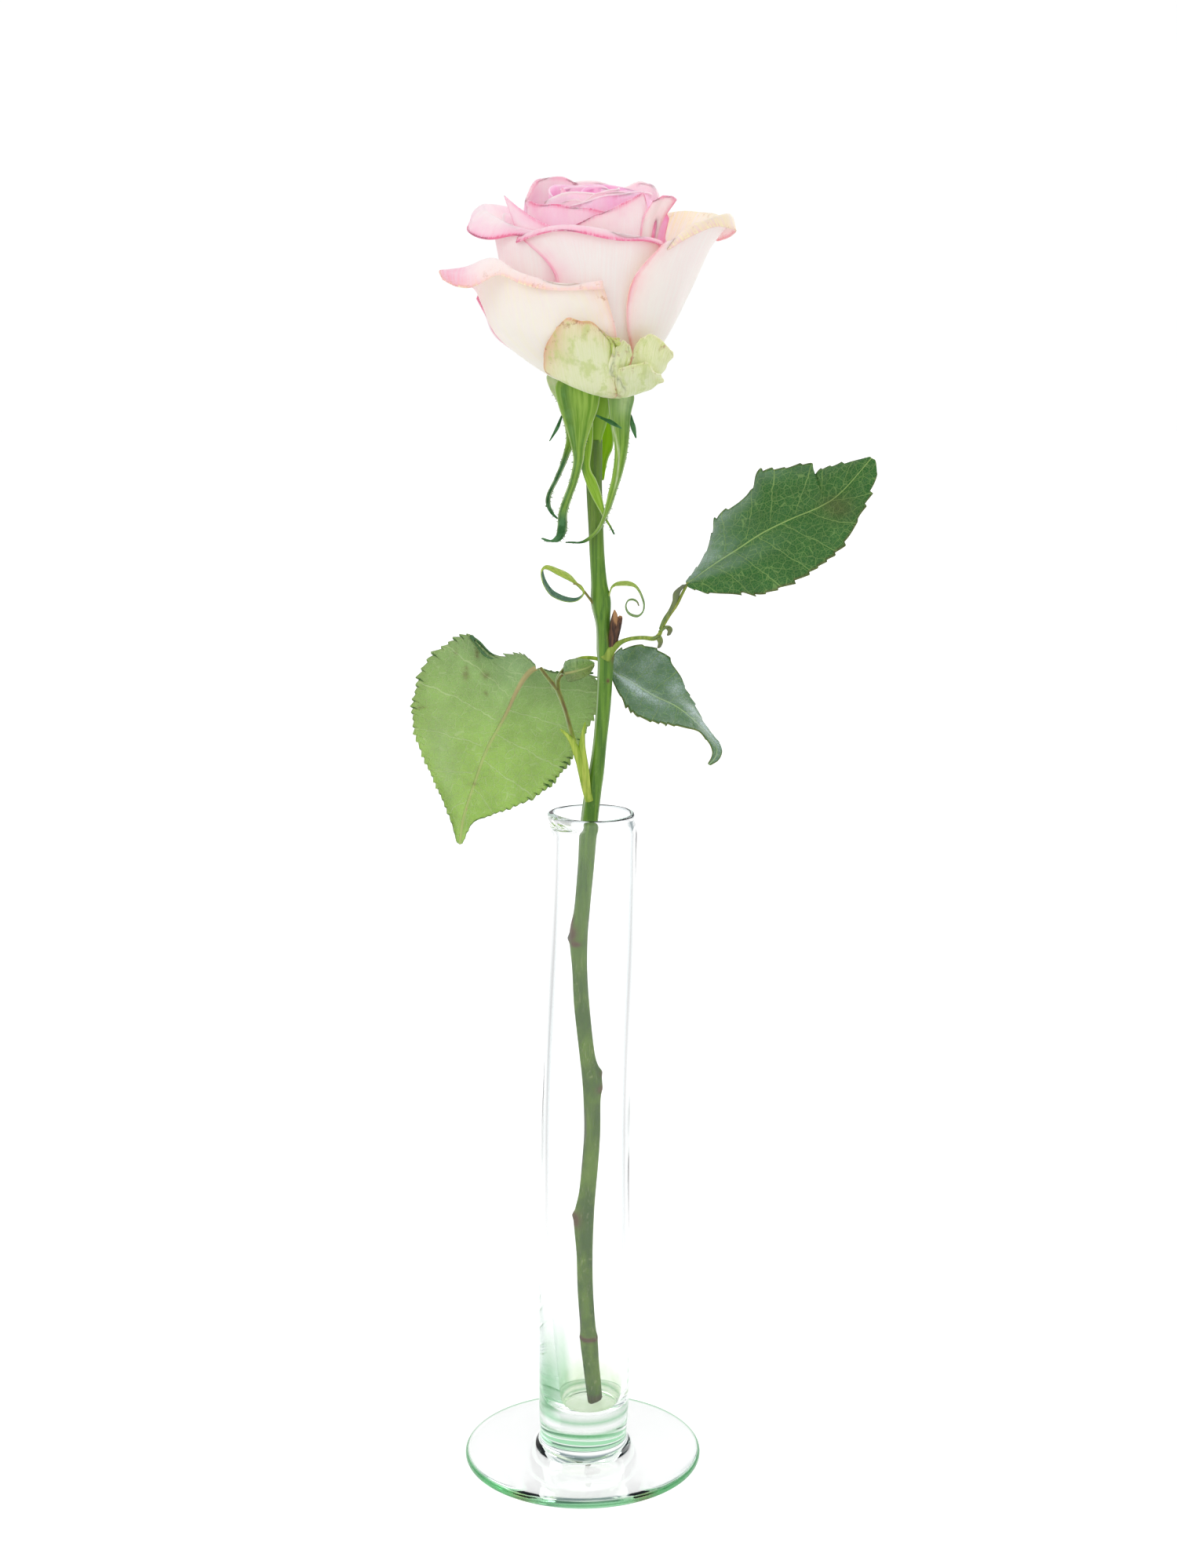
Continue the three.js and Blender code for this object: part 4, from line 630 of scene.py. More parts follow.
# Each guard petal: rows, columns, both faces, wave, how much its edges count as rim, and crumple
GUARDS = [
    (GUARD_LEFT, 60, (0, 0.05, 0.85, 0.2, 0.7), 0.35, (1, 0.5), 0.75),
    (GUARD_UPPER, 44, (0, 0, 0.15, 0.35, 0.5), 0.45, (0.6, 0.6), 0),
    (GUARD_FOLD, 24, (0, 0, 0.15, 0.35, 0.5), 0.3, (1, 0.3), 0.2),
    (GUARD_LOWER, 44, (0, 0, 0.15, 0.35, 0.5), 0.4, (0.6, 0.6), 0),
]


# Curves and grids


def smooth_curve(points, places):
    """The smooth curve through control points, at places from 0 to 1."""
    p = np.asarray(points, float)
    last = len(p) - 1
    spot = np.clip(np.asarray(places, float), 0, 1) * last
    i = np.minimum(spot.astype(int), last - 1)
    f = (spot - i).reshape((-1,) + (1,) * (p.ndim - 1))
    q = np.concatenate([[2 * p[0] - p[1]], p, [2 * p[-1] - p[-2]]])
    a, b, c, d = q[i], q[i + 1], q[i + 2], q[i + 3]
    return b + 0.5 * f * (c - a + f * (2 * a - 5 * b + 4 * c - d + f * (3 * (b - c) + d - a)))


def even_curve(points, places):
    """The same curve with its places measured along its length."""
    p = np.asarray(points, float)
    steps = np.linalg.norm(np.diff(p[:, :3], axis=0), axis=1)
    lengths = np.concatenate([[0], np.cumsum(steps)])
    spots = np.interp(np.asarray(places) * lengths[-1], lengths, np.arange(len(p)))
    return smooth_curve(p, spots / (len(p) - 1))


def unit(vectors):
    """The vectors scaled to a length of one."""
    return vectors / np.maximum(np.linalg.norm(vectors, axis=-1, keepdims=True), 1e-9)


def smooth_step(low, high, x):
    """A smooth change from 0 at low to 1 at high, where high may be the smaller."""
    t = np.clip((np.asarray(x, float) - low) / (high - low), 0, 1)
    return t * t * (3 - 2 * t)


def bell(x, width):
    """A soft bump of height one round zero."""
    return np.exp(-((np.asarray(x, float) / width) ** 2))


def ripple(u, v, seed, waves=6, low=2, high=9):
    """A smooth irregular wave over a sheet, about -1 to 1, from seeded sines."""
    draw = np.random.default_rng(seed)
    total = 0
    for _ in range(waves):
        across, along = draw.uniform(low, high), draw.uniform(low, high) * 0.5
        total = total + np.sin(across * u * 2 + along * v * 2 + draw.uniform(0, 6.28))
    return total / waves**0.5 / 1.2


def even(steps):
    """Places from 0 to 1 in that many equal steps."""
    return np.linspace(0, 1, steps + 1)


def grid_normals(grid):
    """The unit normal at each point of a grid."""
    return unit(np.cross(np.gradient(grid, axis=1), np.gradient(grid, axis=0)))


class Gather:
    """Collects the vertices, faces, map coordinates and painted masks of one piece."""

    def __init__(self):
        self.points, self.faces, self.maps, self.masks = [], [], [], []
        self.count = 0

    def add(self, points, faces, maps, masks):
        """Adds points, with one row of map coordinates and masks for each."""
        self.points.append(points)
        self.faces += [group + self.count for group in faces]
        self.maps.append(maps)
        self.masks.append(masks)
        self.count += len(points)

    def piece(self, name, material, slot, *nodes):
        """Makes the object, which stands for the named solids."""
        mesh = bpy.data.meshes.new(name)
        faces = [face for group in self.faces for face in group.tolist()]
        mesh.from_pydata((np.concatenate(self.points) * MM).tolist(), [], faces)
        loops = np.empty(len(mesh.loops), np.int32)
        mesh.loops.foreach_get("vertex_index", loops)
        layer = mesh.uv_layers.new(name="UVMap")
        layer.uv.foreach_set("vector", np.concatenate(self.maps)[loops].astype(np.float32).ravel())
        masks = np.concatenate(self.masks).astype(np.float32)
        paint = mesh.attributes.new("paint", "FLOAT_VECTOR", "POINT")
        paint.data.foreach_set("vector", masks[:, :3].ravel())
        mark = mesh.attributes.new("mark", "FLOAT", "POINT")
        mark.data.foreach_set("value", masks[:, 3].copy())
        mesh.shade_smooth()
        mesh.update()
        obj = bpy.data.objects.new(name, mesh)
        bpy.context.scene.collection.objects.link(obj)
        mesh.materials.append(material)
        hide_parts(*nodes)
        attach(obj, BODY)


def masks_like(shape, *values):
    """Four painted masks, each one number or an array of that shape."""
    return np.stack([np.broadcast_to(np.asarray(v, float), shape) for v in values], -1)


def add_sheet(out, grid, thick, maps, front, back):
    """A thin closed sheet round a grid of points, with a rounded rim."""
    rows, columns = grid.shape[:2]
    half = grid_normals(grid) * (np.broadcast_to(thick, (rows, columns))[..., None] / 2)
    at = np.arange(rows * columns).reshape(rows, columns)
    quads = np.stack([at[:-1, :-1], at[:-1, 1:], at[1:, 1:], at[1:, :-1]], -1).reshape(-1, 4)
    edge = np.concatenate([at[0, :-1], at[:-1, -1], at[-1, :0:-1], at[:0:-1, 0]])
    i, j = np.divmod(edge, columns)
    inner = np.clip(i, 1, rows - 2) * columns + np.clip(j, 1, columns - 2)
    flat = grid.reshape(-1, 3)
    reach = np.linalg.norm(half.reshape(-1, 3)[edge], axis=1)[:, None]
    rim = flat[edge] + unit(flat[edge] - flat[inner]) * reach
    size = rows * columns
    a, b = edge, np.roll(edge, -1)
    c = 2 * size + np.arange(len(edge))
    d = np.roll(c, -1)
    faces = [
        quads,
        quads[:, ::-1] + size,
        np.stack([b, a, c, d], -1),
        np.stack([d, c, a + size, b + size], -1),
    ]
    points = np.concatenate([(grid + half).reshape(-1, 3), (grid - half).reshape(-1, 3), rim])
    maps = maps.reshape(-1, 2)
    front, back = front.reshape(-1, 4), back.reshape(-1, 4)
    masks = np.concatenate([front, back, (front[edge] + back[edge]) / 2])
    out.add(points, faces, np.concatenate([maps, maps, maps[edge]]), masks)


def grid_maps(us, vs):
    """Map coordinates of a grid, across and then along."""
    return np.stack(np.meshgrid(us, vs), -1)


def tube_faces(rows, sides):
    """Faces of a closed tube, whose last two points are the middles of its ends."""
    at = np.arange(rows * sides).reshape(rows, sides)
    turned = np.roll(at, -1, axis=1)
    foot, top = np.full(sides, at.size), np.full(sides, at.size + 1)
    return [
        np.stack([at[:-1], turned[:-1], turned[1:], at[1:]], -1).reshape(-1, 4),
        np.stack([foot, turned[0], at[0]], -1),
        np.stack([top, at[-1], turned[-1]], -1),
    ]


def add_rod(out, points, sides, steps, masks, shape=None):
    """A rod through points of (x, y, z, radius). shape(turn, line, radius) changes the radius."""
    line = even_curve(points, even(steps))
    way = unit(np.gradient(line[:, :3], axis=0))
    across = unit(np.cross(way, (0, 1, 0)))
    over = np.cross(across, way)
    turn = np.linspace(0, FULL_TURN, sides, endpoint=False)
    radius = np.repeat(line[:, 3:4], sides, axis=1)
    if shape:
        radius = shape(turn, line, radius)
    out_way = across[:, None] * np.cos(turn)[:, None] + over[:, None] * np.sin(turn)[:, None]
    skin = (line[:, None, :3] + out_way * radius[..., None]).reshape(-1, 3)
    points = np.concatenate([skin, line[:1, :3], line[-1:, :3]])
    maps = grid_maps(turn / FULL_TURN, line[:, 2] * MM).reshape(-1, 2)
    out.add(points, tube_faces(steps + 1, sides), np.concatenate([maps, np.zeros((2, 2))]), masks(points))


def ribbon_grid(points, side, columns, steps, channel):
    """A ribbon grid through points of (x, y, z, half width), hollowed along its middle."""
    line = even_curve(points, even(steps))
    us = np.linspace(-1, 1, columns + 1)
    grid = line[:, None, :3] + unit(np.asarray(side, float)) * (us[:, None] * line[:, None, 3:4])
    return grid + grid_normals(grid) * (channel * (1 - us**2)[:, None] * line[:, None, 3:4])


# Materials


def tone(code):
    """A linear colour from a six-digit code."""
    parts = [int(code[k : k + 2], 16) / 255 for k in (0, 2, 4)]
    return (*[c / 12.92 if c < 0.04 else ((c + 0.055) / 1.055) ** 2.4 for c in parts], 1)


class Nodes:
    """Short calls that make and join the nodes of one tree."""

    def __init__(self, tree):
        self.tree = tree

    def put(self, socket, value):
        """Links a socket, or sets a number, a vector or the colour of a six-digit code."""
        if isinstance(value, bpy.types.NodeSocket):
            self.tree.links.new(value, socket)
        else:
            socket.default_value = tone(value) if isinstance(value, str) else value

    def node(self, kind, inputs=(), **settings):
        """Makes a node and returns its outputs."""
        made = self.tree.nodes.new("ShaderNode" + kind)
        for key, value in settings.items():
            setattr(made, key, value)
        for key, value in dict(inputs).items():
            self.put(made.inputs[key], value)
        return made.outputs

    def math(self, operation, a, b=0.0):
        return self.node("Math", {0: a, 1: b}, operation=operation)[0]

    def times(self, first, *others):
        for other in others:
            first = self.math("MULTIPLY", first, other)
        return first

    def plus(self, a, b):
        return self.math("ADD", a, b)

    def minus(self, a, b):
        return self.math("SUBTRACT", a, b)

    def least(self, a, b):
        return self.math("MINIMUM", a, b)

    def most(self, a, b):
        return self.math("MAXIMUM", a, b)

    def away(self, value, middle):
        """How far the value is from the middle."""
        return self.math("ABSOLUTE", self.minus(value, middle))

    def vector(self, operation, a, b=(0, 0, 0)):
        return self.node("VectorMath", {0: a, 1: b}, operation=operation)

    def split(self, vector):
        return self.node("SeparateXYZ", {0: vector})

    def mix(self, factor, a, b, way="MIX"):
        """A colour between two colours."""
        return self.node("Mix", {0: factor, 6: a, 7: b}, data_type="RGBA", blend_type=way)[2]

    def blend(self, factor, a, b):
        """A number between two numbers."""
        return self.node("Mix", {0: factor, 2: a, 3: b})[0]

    def shaded(self, color, shade):
        """The colour multiplied by a number."""
        return self.mix(1.0, color, self.node("CombineColor", {0: shade, 1: shade, 2: shade})[0], "MULTIPLY")

    def noise(self, vector, scale, detail=3, rough=0.55):
        inputs = {"Vector": vector, "Scale": scale, "Detail": detail, "Roughness": rough}
        return self.node("TexNoise", inputs)["Fac"]

    def stretched(self, vector, scale, detail=3, rough=0.55):
        """Noise with its own scale along each axis."""
        return self.noise(self.node("Mapping", {"Vector": vector, "Scale": scale})[0], 1, detail, rough)

    def ramp(self, value, low, high, first=0.0, last=1.0, way="SMOOTHSTEP"):
        """A change from first at low to last at high."""
        inputs = {0: value, 1: low, 2: high, 3: first, 4: last}
        return self.node("MapRange", inputs, interpolation_type=way)[0]


class Look(Nodes):
    """A material, with its shader's settings."""

    def __init__(self, name, scatter=(), **settings):
        self.material = bpy.data.materials.new(name)
        self.material.use_nodes = True
        super().__init__(self.material.node_tree)
        for socket, value in settings.items():
            self.set(socket.replace("_", " "), value)
        for part, value in zip(("Weight", "Radius", "Scale"), scatter):
            self.set("Subsurface " + part, value)
        places = self.node("TexCoord")
        self.spot, self.map = places["Object"], places["UV"]

    def set(self, name, value):
        self.put(self.tree.nodes["Principled BSDF"].inputs[name], value)

    def cells(self, scale, low, high):
        """A net of lines along the walls of cells."""
        inputs = {"Vector": self.spot, "Scale": scale, "Randomness": 1.0}
        walls = self.node("TexVoronoi", inputs, feature="DISTANCE_TO_EDGE")["Distance"]
        return self.ramp(walls, low, high, 1, 0)

    def finish(self, color, relief=None, depth=0.0003, strength=1.0):
        """Sets the colour and the bump, and returns the material."""
        self.set("Base Color", color)
        if relief is not None:
            inputs = {"Height": relief, "Distance": depth, "Strength": strength}
            self.set("Normal", self.node("Bump", inputs)[0])
        return self.material


class Painted(Look):
    """A piece's material, with the four masks painted on its mesh."""

    def __init__(self, name, scatter=(), **settings):
        super().__init__(name, scatter, **settings)
        self.red, self.green, self.blue = self.split(self.node("Attribute", attribute_name="paint")["Vector"])
        self.mark = self.node("Attribute", attribute_name="mark")["Fac"]

    def above(self):
        """The mark where it is above zero."""
        return self.most(self.mark, 0)

    def under(self):
        """The mark where it is below zero, as a number above zero."""
        return self.most(self.times(self.mark, -1), 0)


def petal_look(name, fresh, blush, rim, aged, spots, patchy=0.0):
    """Velvety petal. Painted masks: rim band, blush, age, and the brown spotting."""
    look = Painted(name, PETAL_SCATTER, Roughness=0.55, Specular_IOR_Level=0.25)
    look.set("Sheen Weight", 0.1)
    look.set("Sheen Roughness", 0.4)
    streaks = look.stretched(look.map, (60, 3.5, 1), 5, 0.6)
    uneven = look.ramp(look.noise(look.spot, 110), 0.3, 0.7, 0.75, 1.25)
    band = look.least(look.times(look.red, uneven, look.ramp(streaks, 0.35, 0.65, 0.75, 1.2)), 1)
    color = look.mix(look.least(look.times(look.green, uneven), 1), fresh, blush)
    color = look.mix(band, color, rim)
    color = look.mix(look.ramp(band, 0.75, 1, 0, 0.4), color, "E4B0BC", "MULTIPLY")
    veined = look.times(look.blue, uneven, look.ramp(streaks, 0.35, 0.65, 0.4, 1.5))
    color = look.mix(look.least(veined, 1), color, aged)
    if patchy:
        blots = look.stretched(look.spot, (320, 320, 200), 4, 0.6)
        color = look.mix(look.ramp(blots, 0.48, 0.66, 0, patchy), color, aged)
    speckle = look.ramp(look.noise(look.spot, 420, 4, 0.7), 0.56, 0.68)
    color = look.mix(look.times(speckle, look.mark), color, spots)
    color = look.shaded(color, look.ramp(streaks, 0.3, 0.7, 0.955, 1.02))
    # Painted glow in the petal's own colour, standing in for light passing through it
    look.set("Emission Color", color)
    look.set("Emission Strength", PAINTED_PETAL_GLOW)
    grain = look.noise(look.spot, 1500, 2)
    return look.finish(color, look.plus(streaks, look.times(grain, 0.25)), strength=0.35)


def leaf_look(name, top, top_vein, under, under_vein):
    """Leaf blade. Painted masks: vein count, distance from the midrib, underside, and browning with painted
    sheen.

    The last mask is above zero where the blade is brown and below zero where a painted silvery sheen stands
    for the reflection of the pale surroundings.
    """
    look = Painted(name, (0.15, *GREEN_SCATTER), Specular_IOR_Level=0.3)
    wiggle = look.times(look.minus(look.noise(look.spot, 260, 2), 0.5), 0.2)
    side = look.ramp(look.away(look.math("FRACT", look.plus(look.red, wiggle)), 0.5), 0.008, 0.028, 1, 0)
    rib_core, rib_edge = look.blend(look.blue, 0.008, 0.016), look.blend(look.blue, 0.02, 0.034)
    rib = look.ramp(look.green, rib_core, rib_edge, 1, 0)
    fine = look.cells(1250, 0.02, 0.13)
    web = look.most(look.times(look.cells(430, 0.01, 0.055), 0.42), look.times(fine, 0.2))
    lines = look.most(look.times(side, 0.6), web)
    all_lines = look.most(lines, rib)
    above = look.mix(all_lines, top, top_vein)
    below = look.mix(look.ramp(look.red, -0.5, 4.5), "8FAE78", under)
    below = look.mix(lines, below, "C2D69C")
    flecks = look.ramp(look.noise(look.spot, 240), 0.62, 0.68)
    old_rib = look.most(look.ramp(look.red, 2.2, 3.4, 1, 0), flecks)
    below = look.mix(rib, below, look.mix(old_rib, "B3C478", under_vein))
    color = look.mix(look.blue, above, below)
    patches = look.ramp(look.noise(look.spot, 120, 5, 0.6), 0.3, 0.7, 0.84, 1.16)
    color = look.mix(0.6, color, look.shaded(color, patches))
    uneven = look.ramp(look.noise(look.spot, 200, 4), 0.3, 0.7, 0.6, 1.3)
    between = look.minus(1.1, look.times(look.most(fine, side), 0.6))
    # Painted sheen: a pale bluish green standing in for the reflection of the pale surroundings, weaker on
    # the veins
    painted_sheen = look.least(look.times(look.under(), uneven, between), 1)
    color = look.mix(painted_sheen, color, look.mix(look.blue, "B9CDCB", "C3D6B0"))
    color = look.mix(look.above(), color, "6B4A35")
    look.set("Roughness", look.blend(look.blue, 0.4, 0.6))
    pores = look.times(look.noise(look.spot, 2200, 2), 0.2)
    return look.finish(color, look.plus(look.minus(1.0, all_lines), pores), strength=0.7)


def stem_look(name):
    """Stem and stalks. Painted masks: brown, yellow-green, dark, and a painted highlight."""
    look = Painted(name, (0.12, *GREEN_SCATTER))
    fibres = look.stretched(look.spot, (900, 900, 45), 4)
    mottle = look.stretched(look.spot, (160, 160, 90), 4)
    flecks = look.ramp(look.stretched(look.spot, (1500, 1500, 600), 3, 0.7), 0.58, 0.68)
    level = look.times(look.split(look.spot)[2], 1 / MM)
    fibred, mottled = look.ramp(fibres, 0.35, 0.65), look.ramp(mottle, 0.35, 0.65)
    fresh, dull = look.mix(fibred, "44721A", "6C982E"), look.mix(mottled, "41690F", "6B9024")
    color = look.mix(look.ramp(level, *STEM_FADE), dull, fresh)
    color = look.mix(look.times(flecks, look.ramp(level, 230, 120, 0.1, 0.5)), color, "B6BE84")
    color = look.mix(look.green, color, look.mix(fibred, "8FB030", "C3D45C"))
    browned = look.times(look.red, look.ramp(mottle, 0.35, 0.6, 0.7, 1.15))
    color = look.mix(look.least(browned, 1), color, "66502C")
    color = look.mix(look.blue, color, "666A60")
    # Painted highlight along one side of the stem and the lower stalk
    color = look.mix(look.mark, color, "C4D2B4")
    look.set("Roughness", look.ramp(level, *STEM_FADE, 0.6, 0.42))
    look.set("Specular IOR Level", look.ramp(level, *STEM_FADE, 0.12, 0.4))
    return look.finish(color, look.plus(fibres, look.times(mottle, 0.7)), 0.0004, 0.55)


def sepal_look(name):
    """Sepals. Painted masks: pale margin, on one sepal with painted highlights, dark leafy tip with painted
    shade, a painted yellow-green glow of light shining through, and the inner face.
    """
    look = Painted(name, (0.2, *GREEN_SCATTER), Roughness=0.55, Specular_IOR_Level=0.2)
    fibres = look.stretched(look.map, (10, 4, 1), 5)
    mottle = look.noise(look.spot, 300, 4)
    color = look.mix(look.ramp(fibres, 0.35, 0.65), "6F9A2E", "A0C258")
    color = look.mix(look.mark, color, "A9C790")
    # Painted glow: vivid yellow-green standing in for light shining through the sepal
    color = look.mix(look.blue, color, "9CCB12")
    # Dark leafy tip, together with painted shade
    color = look.mix(look.green, color, look.mix(look.ramp(mottle, 0.4, 0.6), "2F6230", "4F8050"))
    margin = look.times(look.red, look.ramp(mottle, 0.35, 0.6, 0.7, 1.1))
    color = look.mix(look.least(margin, 1), color, "DCE6BE")
    return look.finish(color, look.plus(fibres, look.times(mottle, 0.4)), strength=0.5)


def bract_look(name):
    """Curled bracts. Painted masks: brown, none, none, and the dark outer face."""
    look = Painted(name, (0.2, *GREEN_SCATTER), Roughness=0.5)
    fibres = look.stretched(look.map, (12, 30, 1))
    fibred = look.ramp(fibres, 0.35, 0.65)
    color = look.mix(look.mark, look.mix(fibred, "94B438", "BCCB5E"), look.mix(fibred, "3C6450", "6A9478"))
    return look.finish(look.mix(look.red, color, "7A5A3C"), fibres, strength=0.5)


def bark_look(name):
    """Dead wood with a tan cut. Painted mask: the cut."""
    look = Painted(name, Roughness=0.75)
    grain = look.stretched(look.spot, (1500, 1500, 160), 5, 0.65)
    color = look.mix(look.ramp(grain, 0.35, 0.65), "33211A", "7A543C")
    return look.finish(look.mix(look.red, color, "B98B5E"), grain, 0.0006, 0.8)


def glass_look(name):
    """Clear glass. Painted masks: stain in the cavity, green of thick glass with painted shade down the left
    wall, painted gray shade on the lip, and painted shade on edges with painted dark reflections.

    The last mask is above zero on the tube, whose edges get painted shade, and below zero at the foot's
    painted dark reflections.
    """
    look = Painted(name, Roughness=0.0, IOR=GLASS_IOR, Transmission_Weight=1.0)
    # Painted gray shade along the lip's top edge
    color = look.mix(look.blue, "FFFFFF", "BCC6C8")
    # Green of thick glass, and painted shade down the left wall
    color = look.mix(look.green, color, "58AA6C")
    stained = look.times(look.red, look.ramp(look.noise(look.spot, 130), 0.3, 0.7, 0.6, 1.0))
    color = look.mix(stained, color, "A8CC8C")
    # Painted shade on the tube where its surface is seen slanting, which darkens its edges
    facing = look.node("LayerWeight", {0: 0.5})["Facing"]
    color = look.mix(look.times(look.ramp(facing, 0.45, 0.85), look.above()), color, "8FB4B8")
    absorb = look.node("VolumeAbsorption", {"Color": GLASS_TINT, "Density": GLASS_DENSITY})
    look.put(look.tree.nodes["Material Output"].inputs["Volume"], absorb[0])
    # Painted dark reflections on the foot's edge
    return look.finish(look.mix(look.under(), color, "6C7A3C"))


# Vase


def rounded(profile, rounds=3):
    """The profile with its corners cut smooth, its two ends kept."""
    p = np.asarray(profile, float)
    for _ in range(rounds):
        near, far = 0.75 * p[:-1] + 0.25 * p[1:], 0.25 * p[:-1] + 0.75 * p[1:]
        middle = np.stack([near, far], 1).reshape(-1, p.shape[1])
        p = np.concatenate([p[:1], middle, p[-1:]])
    return p


def vase_grid(radius, height, turn, within):
    """Points round the vase, with its lean, its lip and drip, and the cavity a little off centre."""
    lip = smooth_step(*LIP_RISE, height)
    drip = bell(turn - (DRIP_TURN_RADIANS % FULL_TURN), DRIP_SPREAD_RADIANS) * smooth_step(*DRIP_RISE, height)
    bumps = np.sin(15 * turn + 2 * np.sin(1.3 * height)) * np.sin(1.9 * height + 2 * np.sin(5 * turn))
    bumps = bumps * smooth_step(*BUMP_RISE, height)
    wobble = WALL_WOBBLE * np.sin(3 * turn + height / 17) * smooth_step(*WOBBLE_RISE, height)
    outward = LIP_FLARE * lip + drip * (DRIP_BULGE + DRIP_BUMPS * bumps) + wobble
    wider = np.where(within > 0, -DRIP_INWARD * drip, outward)
    middle_z, middle_x = smooth_curve(TUBE_MIDDLE, np.linspace(0, 1, 60)).T
    shift = np.interp(height, middle_z, middle_x) - LIP_SAG * lip
    shift = shift + within * CAVITY_SHIFT * (1 - smooth_step(*CAVITY_BEND, height))
    reach = radius + wider * (radius > 1)
    return np.stack(np.broadcast_arrays(reach * np.cos(turn) + shift, reach * np.sin(turn), height), -1)


def vase_masks(radius, height, turn, within):
    """The four masks that the glass look names."""
    stain = within * smooth_step(*STAIN_FADE, height) * (0.4 + 0.6 * smooth_step(*STAIN_RADIUS, radius))
    thick = np.maximum.reduce([deep * bell(height - at, BAND_WIDTH) for at, deep in THICK_BANDS])
    # Green of the thicker left wall, together with painted shade there
    left_wall_green_and_shade = smooth_step(-0.4, -0.8, np.cos(turn)) * smooth_step(*GREEN_WALL_TOP, height)
    left_wall_green_and_shade = left_wall_green_and_shade * smooth_step(*GREEN_WALL_FOOT, height)
    thick = np.maximum(np.maximum(thick, smooth_step(*FOOT_RIM, radius)), 0.85 * left_wall_green_and_shade) * (1 - within)
    # Painted shade on the tube's edges, weaker where the wall faces left and right
    edge = smooth_step(*TUBE_FOOT, height) * smooth_step(*TUBE_TOP, height)
    edge = edge * (0.3 + 0.7 * smooth_step(0.97, 0.8, np.abs(np.cos(turn))))
    # Painted dark reflections on the foot's edge
    painted_reflections = sum(bell(np.degrees(turn) - at, REFLECTION_SPREAD_DEGREES) for at in FOOT_REFLECTIONS_DEGREES)
    edge = edge - 0.9 * painted_reflections * smooth_step(*FOOT_EDGE, radius) * (1 - within)
    # Painted gray shade along the lip's top edge
    lip = smooth_step(*LIP_SHADE_RISE, height)
    return masks_like((len(height), len(turn)), stain, thick, lip, edge)


def make_vase(material):
    """The glass as one closed surface, from under the foot over the lip to the cavity's floor."""
    profile = rounded(VASE_OUTSIDE + VASE_INSIDE)
    radius, height = profile[:, :1], profile[:, 1:]
    turn = np.linspace(0, FULL_TURN, VASE_SEGMENTS, endpoint=False)
    within = (np.arange(len(height)) > int(np.argmax(height))).astype(float)[:, None]
    grid = vase_grid(radius, height, turn, within)
    points = np.concatenate([grid[1:-1].reshape(-1, 3), grid[[0, -1], 0]])
    painted = vase_masks(radius, height, turn, within)[1:-1].reshape(-1, 4)
    masks = np.concatenate([painted, [(0, 0, 0, 0), (1, 0, 0, 0)]])
    out = Gather()
    out.add(points, tube_faces(len(grid) - 2, VASE_SEGMENTS), points[:, :2] * MM, masks)
    out.piece("vase_glass_body", material, "vase_glass", "vase")


# Stem and stalks


def near_scar(scar, turn, z):
    """How near a spot on the stem is to a scar."""
    height, side, tall, wide = scar[:4]
    apart = (np.degrees(turn) - side + 180) % 360 - 180
    return bell(z - height, tall) * bell(apart, wide)


def stem_shape(turn, line, radius):
    """The stem's radius with a swelling at each scar and faint ribs."""
    z = line[:, 2:3]
    for scar in STEM_SCARS:
        radius = radius + scar[4] * near_scar(scar, -turn - math.pi / 2, z) * 0.8
    ribs = 0.03 * np.sin(5 * turn + z / 30) + 0.02 * np.sin(9 * turn - z / 11)
    return radius * (1 + ribs)


def stem_masks(p):
    """Brown scars and ends, dark streaks, and a painted highlight down the left of the upper stem."""
    z = p[:, 2]
    line_x, line_y, line_z, _ = np.transpose(STEM_LINE)
    facing = np.arctan2(p[:, 0] - np.interp(z, line_z, line_x), -(p[:, 1] - np.interp(z, line_z, line_y)))
    brown = sum(near_scar(scar, facing, z) for scar in STEM_SCARS)
    brown = np.maximum(brown, 0.6 * smooth_step(*CUT_BROWN, z)) + 0.16 * smooth_step(*STEM_TOP_BROWN, z)
    dark = sum(near_scar(streak, facing, z) for streak in STEM_STREAKS)
    # Painted highlight down the left side of the upper stem
    pale = bell(np.degrees(facing) - HIGHLIGHT_DEGREES, HIGHLIGHT_SPREAD_DEGREES) * smooth_step(*HIGHLIGHT_FOOT, z)
    pale = pale * smooth_step(*HIGHLIGHT_TOP, z)
    return masks_like(z.shape, np.minimum(brown * 1.3, 1), 0, np.minimum(dark * 1.2, 0.9), 0.8 * pale)


def make_stem(material):
    """The long stalk, its lower end cut off at a slant."""
    out = Gather()
    add_rod(out, STEM_LINE, STEM_SIDES, STEM_STEPS, stem_masks, stem_shape)
    knife = out.points[0]
    limit = CUT_HEIGHT + (knife[:, 0] - STEM_LINE[0][0]) * math.tan(-CUT_SLANT_RADIANS)
    knife[:, 2] = np.maximum(knife[:, 2], limit)
    out.piece("stem_stalk", material, "stem_green", "stem")


def flat_masks(*values):
    """Masks that are the same all over a rod."""
    return lambda p: masks_like((len(p),), *values)


